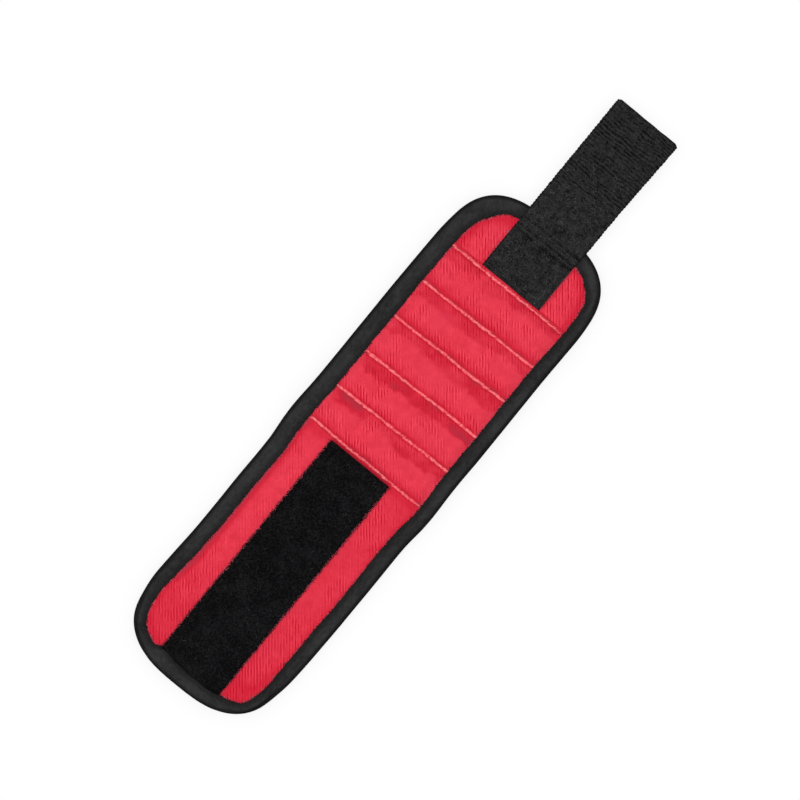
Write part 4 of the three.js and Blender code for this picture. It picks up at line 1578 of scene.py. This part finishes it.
def loop_fur():
    rng = np.random.default_rng(64)
    x = rng.uniform(LOOP_LEFT + 0.4, LOOP_RIGHT - 0.4, LOOP_FIBRES)
    y = rng.uniform(TAIL_END + BINDING_TAIL + 1.5, POCKET_LOW - 0.4, LOOP_FIBRES)
    place = np.column_stack([x, y, SHELL_TOP + 0.6 + loop_pile_height(x)])
    fur("loop_fibres", tail_folds, place, 0.8, (0.8, 1.5), 65, loop_fibre)
    inner = np.minimum(x - LOOP_LEFT, LOOP_RIGHT - x) > 2.5
    pulled = place[inner][:PULLED_LOOPS] + (0, 0, 0.05)
    fur("pulled_loops", tail_folds, pulled, 2.5, (1.4, 2.6), 74, pulled_loop)


def edge_fur():
    rng = np.random.default_rng(66)
    y = np.arange(TAIL_END + BINDING_TAIL + 1, POCKET_LOW, EDGE_FIBRE_STEP)
    y = np.concatenate([y, *(y + EDGE_FIBRE_STEP / part for part in (3, 2, 5))])
    left = np.arange(len(y)) < len(y) / 2
    x = np.where(left, LOOP_LEFT, LOOP_RIGHT) + rng.normal(0, 0.3, len(y))
    place = np.column_stack([x, y, SHELL_TOP + rng.uniform(0.1, 1.0, len(y))])
    fur("edge_fibres", tail_folds, place, 1.2, (0.7, 1.4), 67, loop_fibre)


def strap_fur():
    rng = np.random.default_rng(68)
    x = rng.uniform(STRAP_LEFT + STRAP_FUR_INSET, STRAP_RIGHT - STRAP_FUR_INSET, STRAP_FIBRES)
    y = rng.uniform(POCKET_HIGH + 1, HEAD_END + STRAP_FUR_REACH, STRAP_FIBRES)
    unsewn = (y < strap_rows[-1] - 2) | (y > strap_rows[0] + 1)
    place = np.column_stack([x, y, strap_bottom(y) + STRAP_GROUND - 0.1])[unsewn]
    fur("strap_fibres", strap_folds, place, 2.2, (1.0, 2.2), 69, webbing_fibre)


loop_fur()
edge_fur()
strap_fur()

# %% [markdown]
# Where two cloths meet, the edge is never clean. Dark fibres are worn loose along the binding's inner
# edge, and cut ends of the red yarn stick out where the red cloth goes under the binding, the strip and
# the strap. The same small loop serves for both, lying low and thinner for the red yarn.

# %% Frayed edges
TAPE_FIBRE_STEP = 0.5
FRAY_STEP = 0.4
FRAY_REACH = 0.8
FRAY_THREAD = 0.6
LOW_FRAYS = 560
HIGH_FRAYS = 110


def along_tape(rng, step, least, most):
    """Places at random along the binding's inner edge, up to so far on the red cloth."""
    run = np.sort(rng.uniform(0, rim_length[-1], round(rim_length[-1] / step)))
    station = np.searchsorted(rim_length, run) % len(rim)
    inset = binding_width()[station] + rng.uniform(least, most, len(run))
    return rim[station] + rim_in[station] * inset[:, None]


def on_red(place):
    """The places with their height on the red cloth, without those under the loop strip or the strap."""
    x, y = place.T
    covered = (x > LOOP_LEFT) & (x < LOOP_RIGHT) & ((y < TAIL_END + 15) | (y > HEAD_END - 15))
    panel = (y > POCKET_LOW + 1) & (y < POCKET_HIGH - 1)
    on_strip = (y < POCKET_LOW) * np.clip(np.minimum(x - LOOP_LEFT, LOOP_RIGHT - x) + 0.3, 0, 0.7)
    z = np.where(panel, pocket_height(x, y), SHELL_TOP + 2 * on_strip)
    return np.column_stack([x, y, z])[~covered]


def tape_fur():
    place = on_red(along_tape(np.random.default_rng(72), TAPE_FIBRE_STEP, -0.2, 0.4))
    fur("tape_fibres", cuff_folds, place, 1.5, (0.5, 1.1), 73, loop_fibre)


def frayed_ends():
    rng = np.random.default_rng(70)
    round_rim = along_tape(rng, FRAY_STEP, 0.0, FRAY_REACH)
    low = rng.uniform(TAIL_END + BINDING_TAIL + 2, POCKET_LOW, LOW_FRAYS)
    high = rng.uniform(POCKET_HIGH + 1, HEAD_END - 9, HIGH_FRAYS)
    low_out = rng.uniform(-0.4, FRAY_REACH, LOW_FRAYS)
    high_out = rng.uniform(0, FRAY_REACH, HIGH_FRAYS)
    sides = [(LOOP_LEFT - low_out, low), (LOOP_RIGHT + low_out[::-1], low),
             (STRAP_LEFT + STRAP_INSET - high_out, high),
             (STRAP_RIGHT - ROOT_NARROW + high_out[::-1], high)]
    place = on_red(np.concatenate([round_rim, *(np.column_stack(side) for side in sides)]))
    fur("frayed_ends", cuff_folds, place - (0, 0, 0.1), 1.8, (0.6, 1.4), 71, frayed_yarn,
        thick=FRAY_THREAD)


tape_fur()
frayed_ends()

# %% [markdown]
# The hooks that catch the loops are moulded under the free end of the strap: short stems that curl over.
# They stand on a thin tape sewn to the strap, in rows that look left and right by turns. From above
# nobody sees them, but a strap that folds back shows its underside, so they are modelled: a square stem
# is drawn down and spun round into a curl.

# %% One hook
HOOK_STEM = 0.6
HOOK_CURL = 0.28


def hook_shape():
    """A stem down from the tape that curls over to one side, 1 high."""
    bm = bmesh.new()
    bmesh.ops.create_circle(bm, segments=4, radius=0.13)
    stem = bmesh.ops.extrude_edge_only(bm, edges=bm.edges[:])["geom"]
    bmesh.ops.translate(bm, verts=[item for item in stem if isinstance(item, bmesh.types.BMVert)],
                        vec=(0, 0, -HOOK_STEM))
    curl = [item for item in stem if not isinstance(item, bmesh.types.BMFace)]
    bmesh.ops.spin(bm, geom=curl, cent=(HOOK_CURL, 0, -HOOK_STEM), axis=(0, 1, 0),
                   angle=math.radians(-200), steps=4)
    bmesh.ops.holes_fill(bm, edges=bm.edges)
    bmesh.ops.recalc_face_normals(bm, faces=bm.faces)
    return bm


trial = hook_shape()
print("one hook has", len(trial.faces), "faces")
trial.free()

# %% [markdown]
# The tape is a plain sheet under the strap. The hooks stand on it in a square grid, a few hundred in all:
# real ones are finer and number thousands, so they are drawn coarser here.

# %% Hooks
HOOK_PITCH = 2.1
HOOK_HEIGHT = 0.95
HOOK_TAPE = 0.3
HOOK_START = 5.5
HOOK_EDGE = 1.6


def make_hook_tape():
    bm = grid(30, 60)
    across, along = shares_of(bm)
    low, high = HEAD_END + HOOK_START, STRAP_TIP - 0.6
    y = low + along * (high - low)
    x = STRAP_LEFT + HOOK_EDGE + across * (STRAP_RIGHT - STRAP_LEFT - 2 * HOOK_EDGE)
    z = strap_bottom(y) + 0.02
    move_to(bm, x, y, z)
    thicken(bm, z - HOOK_TAPE)
    remember_rest(bm)
    return part_at_folds(bm, "hook_tape", strap_folds[1:], moulded_hook, "hook_tape")


def make_hooks():
    x, y = np.meshgrid(np.arange(STRAP_LEFT + HOOK_EDGE + 1, STRAP_RIGHT - HOOK_EDGE - 0.5, HOOK_PITCH),
                       np.arange(HEAD_END + HOOK_START + 1, STRAP_TIP - 1.5, HOOK_PITCH))
    side = np.where(np.arange(x.shape[0])[:, None] % 2 == 0, 1.0, -1.0) * np.ones_like(x)
    place = np.column_stack([x.ravel(), y.ravel(), strap_bottom(y.ravel()) - HOOK_TAPE + 0.05])
    heading = np.column_stack([side.ravel(), np.zeros(x.size), np.zeros(x.size)])
    sizes = np.full((x.size, 3), HOOK_HEIGHT)
    scatter_along(hook_shape, "hooks", strap_folds[1:], place, turned(heading), sizes, moulded_hook)


hook_tape = make_hook_tape()
declare_cloth(hook_tape)
make_hooks()

# %% [markdown]
# The magnets inside the pockets are rigid, so they keep their own solids and only get a finish:
# nickel plate, faintly brushed, which gives soft streaked reflections. Noise drawn out along one
# direction makes the streaks.

# %% Magnets
BRUSH_ACROSS = 0.4
BRUSH_ALONG = 16.667
NICKEL_RELIEF = 0.02


def make_nickel():
    finish, tree, shader = new_finish("nickel_plate", 0.32, metallic=1.0)
    place = add_node(tree, "TexCoord", out="Object")
    brush_scale = [1 / (size * MM) for size in (BRUSH_ALONG, BRUSH_ACROSS, BRUSH_ALONG)]
    brushed = add_node(tree, "Mapping", {"Vector": place, "Scale": brush_scale})
    lines = add_node(tree, "TexNoise", {"Vector": brushed, "Scale": 1.0}, out="Fac")
    colour = add_node(tree, "Mix", {"Factor": lines, "A": linear("#b9b7b0"), "B": linear("#d8d6cf")},
                      out="Result", data_type="RGBA")
    bump = add_node(tree, "Bump", {"Height": lines, "Distance": NICKEL_RELIEF * MM, "Strength": 0.4})
    tree.links.new(colour, shader.inputs["Base Color"])
    tree.links.new(bump, shader.inputs["Normal"])
    return finish


nickel = make_nickel()
magnets = [node for name, node in frame["nodes"].items() if name.startswith("magnet")]
for magnet in magnets:
    magnet.data.materials.clear()
    magnet.data.materials.append(nickel)
print(len(magnets), "magnets plated")
